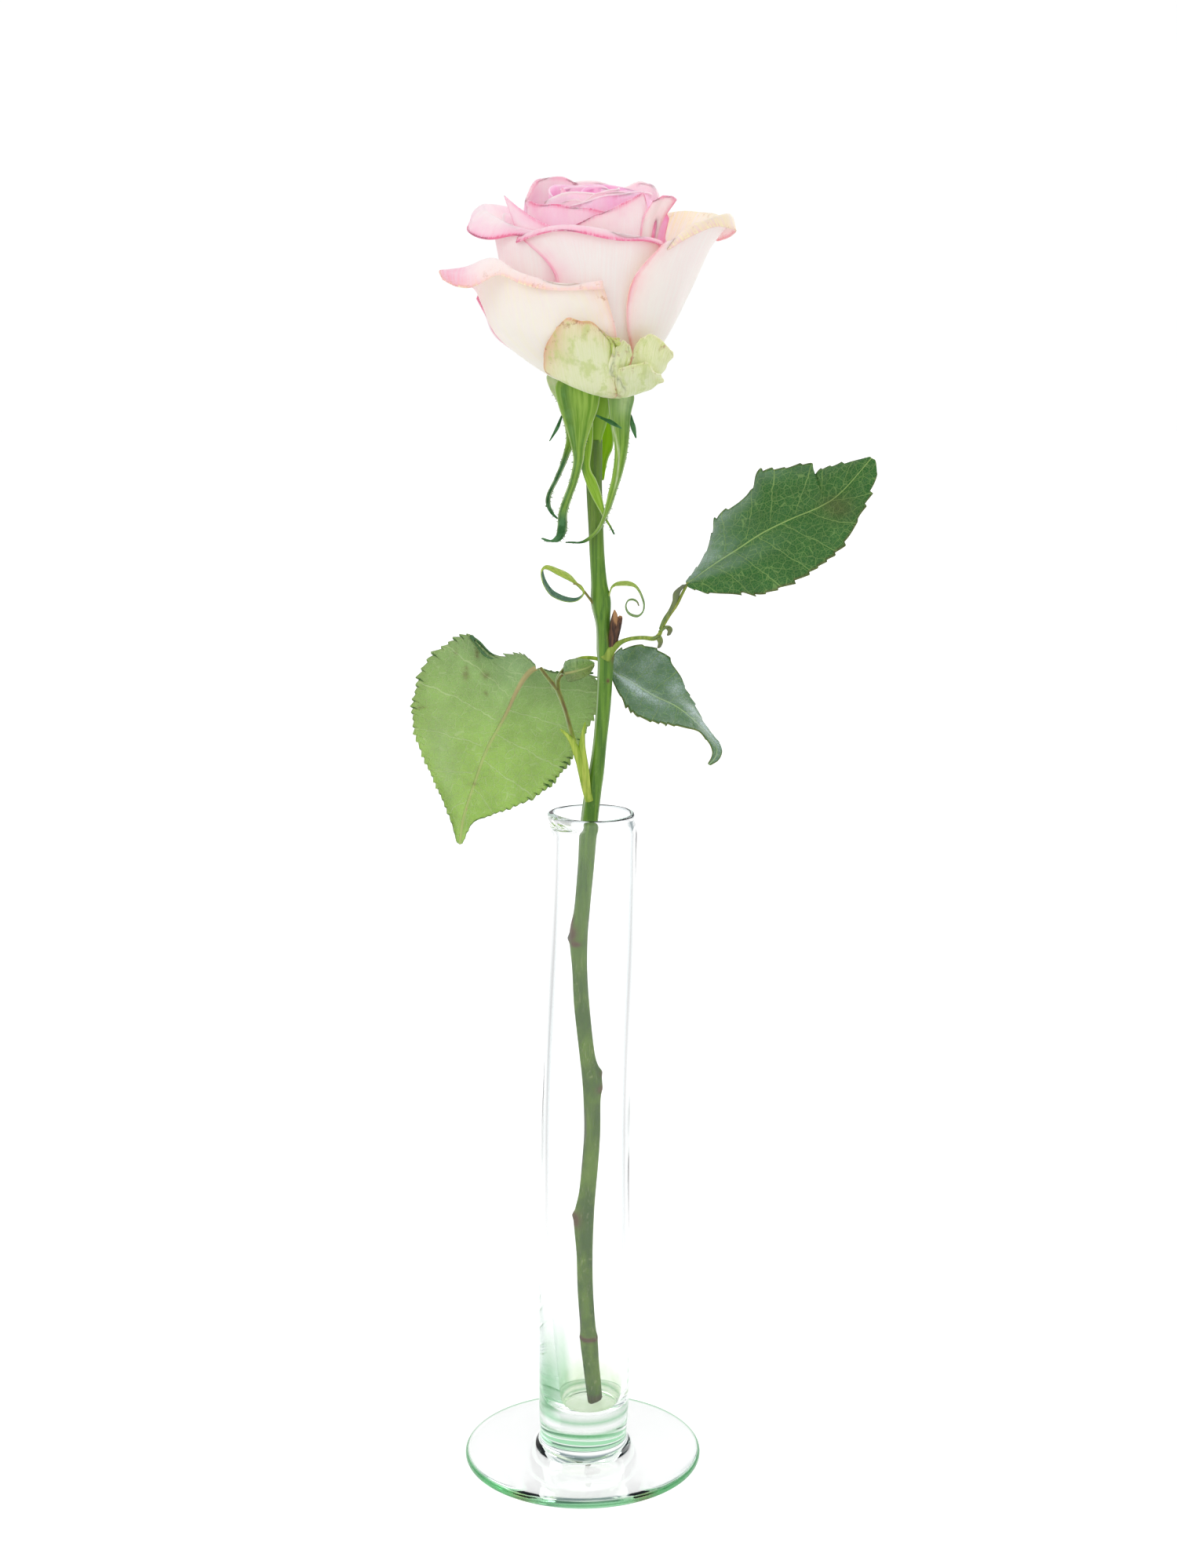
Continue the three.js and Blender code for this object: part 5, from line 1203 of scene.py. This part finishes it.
def make_stub(material):
    """The dead stub of two prongs, with a slanting tan cut on the first."""
    out = Gather()
    for number, prong in enumerate(STUB_PRONGS):
        tip = prong[-1][2]

        def shape(turn, line, radius, number=number):
            knots = 0.09 * np.sin(4 * turn + number) + 0.06 * np.sin(7 * turn + line[:, 2:3] * 0.7)
            return radius * (1 + knots)

        def masks(p, tip=tip, number=number):
            cut = smooth_step(*np.subtract(tip, STUB_TIP_DEPTH), p[:, 2])
            if number == 0:
                slope = p[:, 2] + STUB_CUT_SLOPE * (p[:, 0] - STUB_CUT_X)
                slanting = smooth_step(*np.subtract(tip, STUB_CUT_DEPTH), slope)
                cut = np.maximum(cut, slanting * smooth_step(*STUB_CUT_SIDE, p[:, 0]))
            return masks_like(cut.shape, cut, 0, 0, 0)

        add_rod(out, prong, 16, 40, masks, shape)
    out.piece("cut_shoot_stub_wood", material, "stub_brown", "cut_shoot_stub")


def same_masks(*face):
    """Masks that are the same all over both faces of a ribbon."""
    return lambda v: (face, face)


def add_ribbon(out, points, side, masks, steps=60, channel=0.35, thick=RIBBON_THICK):
    """A ribbon along points. masks(v) gives the painted masks of its front and its back."""
    grid = ribbon_grid(points, side, RIBBON_COLUMNS, steps, channel)
    maps = grid_maps(even(RIBBON_COLUMNS), even(steps))
    faces = [masks_like(maps.shape[:2], *face) for face in masks(maps[..., 1])]
    add_sheet(out, grid, thick, maps, *faces)


def make_bracts(material):
    """The two curled bracts, dry at the tip. The right one is darker on its later part, on both faces."""
    for name, points, foot, turned in BRACTS:

        def masks(v, foot=foot, turned=turned):
            dry = 0.6 * smooth_step(0.93, 1, v) + 0.7 * smooth_step(foot, foot - 0.05, v)
            dark = 0.15 + turned * smooth_step(0.3, 0.5, v)
            return [(dry, 0, 0, dark if turned else plain) for plain in (0, 1)]

        out = Gather()
        add_ribbon(out, points, BRACT_SIDE, masks, 200, 0.3, BRACT_THICK)
        out.piece(name + "_curl", material, "bract_green", name)


def dry_masks(v):
    """Withered and browner towards the tip, on the front and on the back."""
    return (0.5 * v, 0.3, 0.3 + 0.4 * v, 0), (0.5 * v, 0.4, 0.6 * v, 0)


def upper_stalk_masks(p):
    """The upper stalk browns towards its leaf."""
    along = smooth_step(16, 27, p[:, 0])
    return masks_like((len(p),), 0.15 + 0.3 * along, 0.5 + 0.3 * along, 0, 0)


def lower_stalk_masks(points):
    """The lower stalk turns brown past its stipules, with a painted highlight along one side."""
    line = even_curve(points, np.linspace(0, 1, 200))
    way = unit(np.gradient(line[:, :3], axis=0))

    def masks(p):
        near = np.argmin(np.linalg.norm(p[:, None] - line[None, :, :3], axis=-1), axis=1)
        off = p - line[near, :3]
        side = (off[:, 0] * way[near, 2] - off[:, 2] * way[near, 0]) / line[near, 3]
        brown = smooth_step(*STALK_BROWN, p[:, 2]) * smooth_step(0, -5, p[:, 0])
        core = brown * (0.3 + 0.7 * bell(side - 0.15, 0.5))
        # Painted highlight along one side
        pale = 0.75 * brown * smooth_step(-0.45, -0.85, side)
        return masks_like(core.shape, core, 0.9 - 0.4 * brown, 0, pale)

    return masks


def make_stalks(material):
    """The two leaf stalks, with their withered or winged stipules."""
    out = Gather()
    add_rod(out, UPPER_STALK_LINE, 14, 120, upper_stalk_masks)
    for points in (HOOK_LOW, HOOK_HIGH, WITHERED_STRIP):
        add_ribbon(out, points, HOOK_SIDE, dry_masks, 40)
    out.piece("upper_leaf_stalk_fine", material, "stalk_olive", "upper_leaf_stalk")
    out = Gather()
    for points, steps in ((LOWER_STALK_LINE, 90), (FORK_LEFT, 40), (FORK_RIGHT, 70), (SMALL_FORK_LINE, 24)):
        add_rod(out, points, 14, steps, lower_stalk_masks(points))
    for points, side in ((WING_LEFT, (1, 0.2, 0.3)), (WING_RIGHT, (1, -0.2, 0.1))):
        add_ribbon(out, points, side, same_masks(0, 0.9, 0, 0))
    out.piece("lower_leaf_stalk_fine", material, "stalk_olive", "lower_leaf_stalk")


# Leaves


def leaf_grid(leaf, columns, steps, veins, lean):
    """Leaf points with saw teeth and sunk veins, and the vein count and midrib distance at each."""
    spread = np.linspace(-1, 1, columns + 1)
    maps = grid_maps(0.5 + 0.5 * np.sign(spread) * np.abs(spread) ** 0.85, even(steps))
    u, v = maps[..., 0], maps[..., 1]
    t = LEAF_START + (LEAF_END - LEAF_START) * even(steps)
    rib, left, right = (even_curve(leaf[part], t)[:, None] for part in ("middle", "left", "right"))
    out = np.abs(2 * u - 1)
    edge = np.where((u < 0.5)[..., None], left, right)
    reach = edge - rib
    width = np.linalg.norm(reach, axis=-1)
    second = (u > 0.5) * 2.0
    part = (v * leaf["teeth"] + 0.5 * np.sin(9 * v + second) + 0.3 * np.sin(23 * v + 3 * second)) % 1
    uneven = 0.8 + 0.35 * np.sin(1.7 * leaf["teeth"] * v + second)
    saw = np.minimum(part / SAW_RISE, (1 - part) / SAW_FALL) ** 1.25
    tooth = leaf["tooth"] * saw * out**12 * np.minimum(width / 6, 1) * uneven * 1.15
    grid = rib + reach * out[..., None] + unit(reach) * tooth[..., None]
    grid += unit(np.gradient(edge, axis=0)) * (tooth * 0.8)[..., None]
    grid[..., 1] += leaf["cup"] * 4 * out * (1 - out) * np.minimum(width / 12, 1)
    off_rib = out * width
    count = v * veins - lean * out + 0.35 * out**2 + np.where(u < 0.5, 0.0, 0.5)
    to_vein = np.abs(count % 1 - 0.5) * 2
    quilt = QUILT_HEIGHT * (1 - bell(to_vein, 0.28)) * smooth_step(0.3, 2.5, off_rib) * (1 - out**6)
    groove = GROOVE_DEPTH * bell(off_rib, 0.55) * (1 - 0.7 * v)
    puff = quilt - groove + 0.25 * ripple(u, v, LEAF_SEED, 6, 2, 8) * smooth_step(0.5, 6, off_rib)
    return grid + grid_normals(grid) * puff[..., None], maps, count, off_rib, out


def make_leaf(out, leaf, columns, steps, veins, lean, edge_brown, paint):
    """One blade. paint(u, v, x, z) gives browning above zero and a painted silvery sheen below zero.

    A leaf's "face" is 1 if its upper side comes first, and "under" is how pale its underside is.
    """
    grid, maps, count, off_rib, edge = leaf_grid(leaf, columns, steps, veins, lean)
    rib = off_rib / 20 * (0.6 + 0.9 * maps[..., 1])
    brown_and_sheen = paint(maps[..., 0], maps[..., 1], grid[..., 0], grid[..., 2])
    rim = edge_brown * smooth_step(0.985, 1.0, edge)
    brown_and_sheen = np.where(rim > 0.05, np.maximum(rim, brown_and_sheen), brown_and_sheen)
    faces = [masks_like(count.shape, count, rib, side, brown_and_sheen) for side in (0, leaf.get("under", 1))]
    add_sheet(out, grid, LEAF_THICK, maps, *(faces if leaf["face"] else faces[::-1]))


def upper_paint(u, v, x, z):
    """A brown spot near the tip, and painted sheen near the foot and the edge."""
    painted_sheen = 0.4 * bell(v - 0.12, 0.16) * smooth_step(0.75, 0.3, u) + 0.25 * bell(u, 0.1) * bell(v - 0.3, 0.3)
    painted_sheen += 0.15 * bell(u - 0.62, 0.08) * bell(v - 0.2, 0.2)
    return 0.3 * bell(x - 74, 5) * bell(z - 303, 3.5) - painted_sheen


def right_paint(u, v, *_):
    """Painted sheen all over, stronger in patches and in bands between the veins."""
    foot = 1.0 * bell(u - 0.6, 0.12) * bell(v - 0.16, 0.2)
    tip = 0.6 * bell(u - 0.3, 0.18) * bell(v - 0.72, 0.2)
    return -(0.24 + foot + tip) - 0.25 * bell((v * 5 + u) % 1 - 0.5, 0.2) * smooth_step(0.5, 0.2, u)


def large_paint(u, v, x, z):
    """Brown spots, and a faint painted sheen on the lower left."""
    brown = sum(deep * bell(x - bx, wide) * bell(z - bz, tall) for bx, bz, wide, tall, deep in LARGE_SPOTS)
    return brown - 0.3 * bell(u - 0.2, 0.14) * bell(v - 0.68, 0.16)


def small_paint(u, *_):
    """Brown on one half and painted sheen along the other edge."""
    return 0.3 * bell(u - 0.8, 0.3) - 0.25 * bell(u, 0.15)


def make_leaves(material):
    """The four blades, the large one with its folded margin.

    Each row has a blade's name, node and points, its columns, steps and side veins, how much they lean,
    how brown its edge is, and its paint.
    """
    for name, node, leaf, *rest in (
        ("upper_leaf_fine", "upper_leaf_blade", UPPER_LEAF, 44, 300, 8, 1.3, 0.45, upper_paint),
        ("right_leaflet_fine", "right_leaflet_blade", RIGHT_LEAF, 40, 240, 8, 1.2, 0.4, right_paint),
        ("large_leaflet_fine", "large_leaflet_blade", LARGE_LEAF, 44, 500, 7, 1.2, 0.12, large_paint),
        ("small_leaflet_fine", "small_leaflet_blade", SMALL_LEAF, 24, 120, 6, 1.1, 0.3, small_paint),
    ):
        out = Gather()
        make_leaf(out, leaf, *rest)
        if leaf is LARGE_LEAF:
            # The folded margin gets a faint painted sheen
            folded = same_masks(2.25, 1, 0, -0.1)
            add_ribbon(out, FOLDED_MARGIN, MARGIN_SIDE, folded, 40, 0.4, LEAF_THICK)
        out.piece(name, material, "leaf_green", node)


# Calyx


def strip_grid(lines, keel, columns, steps):
    """A strip through rows of (left x, right x, y, z), its middle pushed towards the viewer."""
    us = 0.5 - 0.5 * np.cos(np.linspace(0, math.pi, columns + 1))
    left, right, y, z = smooth_curve(lines, even(steps)).T[..., None]
    wide = right - left
    bulge = keel * wide * 4 * us * (1 - us)
    grid = np.stack(np.broadcast_arrays(left + wide * us, y - bulge, z), -1)
    return grid, grid_maps(us, even(steps))


def add_bristles(out, grid, seed, count, start):
    """Small glandular bristles along both edges of a sepal."""
    draw = np.random.default_rng(seed)
    rows, columns = grid.shape[:2]
    for _ in range(count):
        row = int(draw.uniform(start, BRISTLES_END) * (rows - 1))
        column, inner = ((0, 1), (columns - 1, columns - 2))[draw.integers(2)]
        foot = grid[row, column]
        way = unit(foot - grid[row, inner]) + np.array([0, draw.uniform(-0.4, 0.1), draw.uniform(-0.7, 0.2)])
        tip = foot + unit(way) * draw.uniform(*BRISTLE_LENGTH)
        points = [(*foot, 0.13), (*((foot + tip) / 2), 0.09), (*tip, 0.05)]
        add_rod(out, points, 5, 2, flat_masks(0, 0.6, 0, 0))


def sepal_paint(lines, u, v):
    """What a sepal adds to its pale margin, its painted shade and its inner face's look."""
    if lines is SEPAL_RIGHT:
        # A pale line along the ridge, and a painted highlight near the top, both go on the pale margin
        ridge = bell(u - 0.1 - 2.2 * np.maximum(v - 0.3, 0), 0.07)
        ridge = ridge * smooth_step(0.22, 0.3, v) * smooth_step(0.62, 0.5, v)
        painted_highlight = 1.3 * bell(u - 0.62, 0.2) * bell(v - 0.12, 0.08)
        # Painted shade along the right edge and down the middle
        shade = 0.5 * bell(u - 0.9, 0.18) * smooth_step(0.05, 0.2, v) + 0.25 * bell(u - 0.4, 0.1)
        return 0.8 * ridge + 0.6 * painted_highlight, shade, 0.4 * smooth_step(0.35, 0.15, v)
    if lines is SEPAL_FRONT_LEFT:
        shade = 0.6 * bell(u - 0.2, 0.14) * smooth_step(0.05, 0.2, v) + 0.3 * smooth_step(0.4, 0.6, v)
        return 0, shade + 0.35 * bell(u - 0.75, 0.1) * smooth_step(0.25, 0.4, v), 0
    if lines is SEPAL_CROSSING:
        return 0, 0.8 * smooth_step(0.55, 0.2, u) * smooth_step(0.45, 0.3, v), 0
    if lines is SEPAL_BACK_LEFT:
        return 0.8 * smooth_step(0.42, 0.3, v), 0, 0
    return 0, 0, 0


def make_calyx(material):
    """Five drooping sepals, three narrow side leaves and the hip under the bloom."""
    out = Gather()
    for seed, (lines, keel, painted_glow, dark_from, bristles, start) in enumerate(SEPALS, 1):
        grid, maps = strip_grid(lines, keel, SEPAL_COLUMNS, SEPAL_STEPS)
        u, v = maps[..., 0], maps[..., 1]
        wide = np.linalg.norm(grid[:, -1] - grid[:, 0], axis=-1)[:, None]
        fold = SEPAL_FOLD * np.sin(2 * math.pi * u * 2 + 5 * v) * smooth_step(1, 5, wide)
        grid = grid + grid_normals(grid) * (fold + SEPAL_WAVE * ripple(u, v, seed))[..., None]
        pale, shade, inside = sepal_paint(lines, u, v)
        margin = 0.45 * bell(np.minimum(u, 1 - u) * wide, MARGIN_WIDTH) * smooth_step(0.9, 0.7, v)
        margin = np.maximum(margin, pale)
        # The dark tip's mask also carries the painted shade
        tip = np.maximum(smooth_step(dark_from - 0.08, dark_from + 0.04, v), shade)
        faces = [masks_like(u.shape, margin, tip, painted_glow, face) for face in (1, inside)]
        add_sheet(out, grid, SEPAL_THICK, maps, *faces)
        add_bristles(out, grid, seed, bristles, start)
    for line, side in zip(SIDE_TIPS, ((1, 0, 0.3), (0.3, 0.2, 1), (1, 0, 0.2))):
        add_ribbon(out, line, side, same_masks(0, 1, 0, 0), 24, 0.3, SIDE_TIP_THICK)
    # The hip also gets a faint painted glow
    add_rod(out, HIP_LINE, 32, 40, flat_masks(0, 0, 0.2, 0))
    out.piece("calyx_sepals", material, "sepal_green", "calyx")


# Bloom


def petal_rows(lists):
    """The lists as full rows of (turn, radius, height)."""
    rows, turns = [], None
    for row in lists:
        turns, radius, height = (turns, *row)[-3:]
        rows.append(np.stack(np.broadcast_arrays(turns, radius, height), -1))
    return np.stack(rows).astype(float)


def petal_grid(rows, columns, steps):
    """Petal points, with the turns in order so that its own front faces out."""
    if rows[-1, -1, 0] < rows[-1, 0, 0]:
        rows = rows[:, ::-1]
    count, places = rows.shape[:2]
    across = smooth_curve(rows.transpose(1, 0, 2).reshape(places, -1), even(columns)).reshape(-1, count, 3)
    polar = smooth_curve(across.transpose(1, 0, 2).reshape(count, -1), even(steps))
    turn, radius, height = polar.reshape(-1, columns + 1, 3).transpose(2, 0, 1)
    turn = np.radians(turn)
    return np.stack([BLOOM_X + radius * np.sin(turn), -radius * np.cos(turn), BLOOM_BASE + height], -1)


def rolled(grid, length, degrees, steps=6):
    """The petal with its rim carried on and curled outwards."""
    if not length:
        return grid
    us = np.linspace(0, 1, grid.shape[1])
    part = (length * (0.25 + 0.75 * np.sin(math.pi * us) ** 0.5) / steps)[:, None]
    along = unit(grid[-1] - grid[-2])
    outward = grid[-1] - np.array([BLOOM_X, 0, 0])
    outward[:, 2] = 0
    outward = unit(outward - along * np.sum(outward * along, -1, keepdims=True))
    rows, here = [grid], grid[-1]
    for step in range(1, steps + 1):
        angle = math.radians(degrees) * step / steps
        here = here + part * (along * math.cos(angle) + outward * math.sin(angle))
        rows.append(here[None])
    return np.concatenate(rows)


def rim_distance(grid, sides):
    """Distance in millimetres from the top rim, or from the side edges where they count."""
    up = np.linalg.norm(np.diff(grid, axis=0), axis=-1)
    over = np.linalg.norm(np.diff(grid, axis=1), axis=-1)
    top = np.concatenate([np.cumsum(up[::-1], 0)[::-1], np.zeros((1, grid.shape[1]))])
    start = np.zeros((grid.shape[0], 1))
    left = np.concatenate([start, np.cumsum(over, 1)], 1)
    right = np.concatenate([np.cumsum(over[:, ::-1], 1)[:, ::-1], start], 1)
    return np.minimum(top, np.minimum(left / max(sides[0], 0.01), right / max(sides[1], 0.01)))


def add_petal(
    out, rows, size, outer, inner, roll, wave, sides, seed,
    warm=0, crumple=0, flush=NO_FLUSH, thick=PETAL_THICK,
):
    """One petal. outer and inner give each face's blush at the foot and rim, its rim band, age and spots.

    crumple puckers the right half, warm turns the rim from pink to peach, and flush adds blush and rim colour
    at the left.
    """
    grid = rolled(petal_grid(rows, *size), *roll)
    maps = grid_maps(even(size[0]), even(len(grid) - 1))
    u, v = maps[..., 0], maps[..., 1]
    distance = rim_distance(grid, sides)
    fine_wave = 0.25 * ripple(u, v, seed + FINE_WAVE_SEED, 8, 6, 16)
    sway = wave * (bell(distance, 7) * ripple(u, v, seed) + fine_wave)
    pucker = crumple * smooth_step(0.62, 0.9, u) * smooth_step(0.25, 0.6, v)
    sway += pucker * (np.sin(34 * u + 5 * np.sin(7 * v)) + 0.6 * np.sin(27 * v + 9 * u))
    grid = grid + grid_normals(grid) * (sway * smooth_step(0.05, 0.5, v))[..., None]
    band = 0.72 * bell(distance, 0.75) + 0.42 * bell(distance, 4.5)
    faces, at_left = [], smooth_step(0.42, 0.02, u) * smooth_step(0.2, 0.6, v)
    for face in (outer, inner):
        foot, rim, strength, age, spots = (*face, 0, 0)[:5]
        blush = foot + (rim - foot) * v**1.6 + flush[0] * at_left
        aged = np.minimum(age + 0.35 * (1 - v) ** 5 + warm * band + 0.8 * pucker, 1)
        edge = strength * band + flush[1] * at_left
        faces.append(masks_like(u.shape, edge, blush, aged, spots * bell(distance, 3)))
    add_sheet(out, grid, thick, maps, *faces)


def hidden_petal(middle, half, radius, top, flare):
    """Rows of a guessed back petal, round at its top and flared outwards."""
    spans = np.linspace(-1, 1, 6)
    rows = []
    for reach, flared, rise, open_part in HIDDEN_PROFILE:
        wave = rise**3 * np.sin(4 * spans + middle)
        drop = rise**4 * HIDDEN_DROP * spans**4 + rise * rise * HIDDEN_ROUND * spans**2 - HIDDEN_WAVE * wave
        out = radius * (reach + flared * flare + 0.035 * wave)
        rows.append(np.stack([middle + spans * half * open_part, out, (top - BLOOM_BASE) * rise - drop], -1))
    return np.stack(rows)


def centre_petal(layer):
    """Rows of one petal of the tight spiral, smaller and more wrapped with each layer."""
    radius = CENTRE_RADIUS - CENTRE_STEP * layer
    middle = CENTRE_TURN + GOLDEN_TURN * layer
    half = CENTRE_HALF + CENTRE_WRAP * layer
    tall = CENTRE_TOP + 1.2 * math.sin(1.7 * layer) - CENTRE_FOOT
    spans = np.linspace(-1, 1, 5)
    rows = []
    for reach, rise in ((0.7, 0), (0.95, 0.4), (1, 0.75), (0.97 + 0.05 * math.sin(2.1 * layer), 1)):
        tilt = 1.7 * rise * np.cos(np.radians(middle + spans * half))
        drop = 3 * rise * spans**2 + 0.8 * rise * np.sin(3.1 * spans + 1.9 * layer) + tilt
        height = CENTRE_FOOT - BLOOM_BASE + tall * rise - drop
        uneven = 1 + 0.075 * rise * np.sin(2.6 * spans + 2.3 * layer)
        out = radius * (1 - 0.12 * spans) * reach * uneven
        rows.append(np.stack([middle + spans * half, out, height], -1))
    return np.stack(rows)


def make_bloom(material):
    """The petals in layers: those that the photo shows, the hidden ones, the spiral and the core."""
    out = Gather()
    for seed, (lists, *rest, warm) in enumerate(PETALS):
        flush = OUTER_FLUSH if lists is OUTER_LEFT else NO_FLUSH
        add_petal(out, petal_rows(lists), *rest, seed, warm, flush=flush)
    for seed, (rule, size, outer) in enumerate(HIDDEN_PETALS, HIDDEN_SEED):
        rest = HIDDEN_INNER_FACE, HIDDEN_ROLL, HIDDEN_SWAY, HIDDEN_SIDES, seed
        add_petal(out, hidden_petal(*rule), size, outer, *rest)
    for layer in range(CENTRE_LAYERS):
        face = (1.1, 0.4 + 0.3 * math.sin(2.3 * layer), 0.1)
        rest = CENTRE_ROLL, CENTRE_SWAY, CENTRE_SIDES, CENTRE_SEED + layer
        add_petal(out, centre_petal(layer), CENTRE_SIZE, face, face, *rest)
    line = [(BLOOM_X, 0, BLOOM_BASE + z, radius) for z, radius in CORE_PROFILE]
    add_rod(out, line, 40, 30, flat_masks(0, 0.6, 0, 0))
    out.piece("bloom_layered_petals", material, "petal_pink", "bloom_petals")


def make_guards(material):
    """The four small crumpled petals at the front of the bloom's foot."""
    out = Gather()
    for seed, (lists, columns, look, wave, sides, crumple) in enumerate(GUARDS, GUARD_SEED):
        flush = GUARD_FLUSH if lists is GUARD_LEFT else NO_FLUSH
        rows, size = petal_rows(lists), (columns, GUARD_STEPS)
        add_petal(out, rows, size, look, look, NO_ROLL, wave, sides, seed, 0, crumple, flush, GUARD_THICK)
    out.piece("guard_petals_crumpled", material, "guard_cream", "guard_petals")


# Stage, light and camera


def add_area_light(name, place, target, size, power):
    """A round light that faces its target."""
    data = bpy.data.lights.new(name, "AREA")
    data.shape, data.size, data.energy = "DISK", size, power
    obj = bpy.data.objects.new(name, data)
    bpy.context.scene.collection.objects.link(obj)
    obj.location = place
    x, y, z = np.subtract(target, place)
    obj.rotation_euler = (math.pi / 2 + math.atan2(z, math.hypot(x, y)), 0, math.atan2(-x, y))


def make_stage():
    """A pale glowing floor. What the clear glass refracts from it is darker in slanting directions."""
    mesh = bpy.data.meshes.new("pale_floor")
    corners = [(x * FLOOR_HALF, y * FLOOR_HALF, FLOOR_Z) for x, y in ((-1, -1), (1, -1), (1, 1), (-1, 1))]
    mesh.from_pydata(corners, [], [(0, 1, 2, 3)])
    floor = bpy.data.objects.new("pale_floor", mesh)
    bpy.context.scene.collection.objects.link(floor)
    look = Look("pale_floor", Roughness=0.6, Base_Color=FLOOR_TONE, Emission_Color=WHITE)
    rays = look.node("LightPath")
    flat = look.vector("MULTIPLY", look.spot, (1, 1, 0))[0]
    side = look.split(look.vector("NORMALIZE", flat)[0])[1]
    slant = look.ramp(look.away(side, DARK_WAY), 0.15, 0.33, 0.5, 0.0, "LINEAR")
    far = look.ramp(look.vector("LENGTH", flat)["Value"], 0.1, 0.3, 0.0, 1.0, "LINEAR")
    glow = look.blend(rays["Is Diffuse Ray"], FLOOR_GLOW, FLOOR_LIGHT)
    glow = look.blend(rays["Is Singular Ray"], glow, look.minus(FLOOR_GLOW, look.times(slant, far)))
    look.set("Emission Strength", glow)
    mesh.materials.append(look.material)


def make_light():
    """Soft white light. What the clear glass refracts of it is darker and bluer in slanting directions."""
    scene = bpy.context.scene
    scene.world = bpy.data.worlds.new("studio")
    scene.world.use_nodes = True
    nodes = Nodes(scene.world.node_tree)
    way, rays = nodes.node("TexCoord")["Generated"], nodes.node("LightPath")

    def by_direction(low, high, first, last, leftward=0.0):
        """A value that changes from the viewer's side to the far side."""
        along = nodes.vector("DOT_PRODUCT", way, (-leftward, 1, 0))["Value"]
        return nodes.ramp(along, low, high, first, last, "LINEAR")

    slant = nodes.away(by_direction(-1, 1, -1.0, 1.0, 0.3), DARK_WAY)

    def by_slant(first, last):
        """A value that differs between the darker slanting directions and the rest."""
        return nodes.ramp(slant, 0.12, 0.38, first, last, "LINEAR")

    mirrored = by_direction(-0.9, 0.9, 0.1, 0.62)
    clear = nodes.blend(rays["Is Transmission Ray"], mirrored, by_slant(0.5, BACK_GLOW))
    strength = nodes.blend(rays["Is Singular Ray"], by_direction(-0.7, 0.4, 0.88, 0.76), clear)
    blued = nodes.blend(rays["Is Singular Ray"], 0.0, by_slant(1.0, 0.0))
    back = nodes.tree.nodes["Background"].inputs
    nodes.put(back["Strength"], nodes.blend(rays["Is Camera Ray"], strength, BACK_GLOW))
    nodes.put(back["Color"], nodes.mix(rays["Is Camera Ray"], nodes.mix(blued, WHITE, "B6CDD2"), WHITE))
    for light in AREA_LIGHTS:
        add_area_light(*light)
    scene.view_settings.view_transform = "Standard"
    scene.view_settings.look = "None"
    for kind in ("max_bounces", "glossy_bounces", "transmission_bounces"):
        setattr(scene.cycles, kind, GLASS_BOUNCES)


def make_camera():
    """The camera at the photo's place and angle."""
    data = bpy.data.cameras.new("photo_view")
    data.sensor_width = SENSOR_LONG_SIDE
    data.lens = FOCAL_PIXELS / IMAGE_LONG_SIDE * SENSOR_LONG_SIDE
    data.clip_start, data.clip_end = CAMERA_RANGE
    camera = bpy.data.objects.new("photo_view", data)
    bpy.context.scene.collection.objects.link(camera)
    camera.location = CAMERA_PLACE
    camera.rotation_euler = (math.radians(90 - CAMERA_PITCH_DOWN), 0, 0)
    bpy.context.scene.camera = camera


make_camera()
make_stage()
make_light()
make_vase(glass_look("vase_glass"))
make_stem(stem_look("stem_green"))
make_stub(bark_look("stub_brown"))
make_bracts(bract_look("bract_green"))
make_stalks(stem_look("stalk_olive"))
make_leaves(leaf_look("leaf_green", "2A6424", "98B86A", "A6CA66", "B8AC78"))
make_calyx(sepal_look("sepal_green"))
make_guards(petal_look("guard_cream", "EDF0D0", "E3C1A2", "DFA898", "B9CA70", "9A6A48", 0.5))
make_bloom(petal_look("petal_pink", "FCF5EC", "FAAFDC", "EC8CAC", "F3E6BE", "B98A5C"))
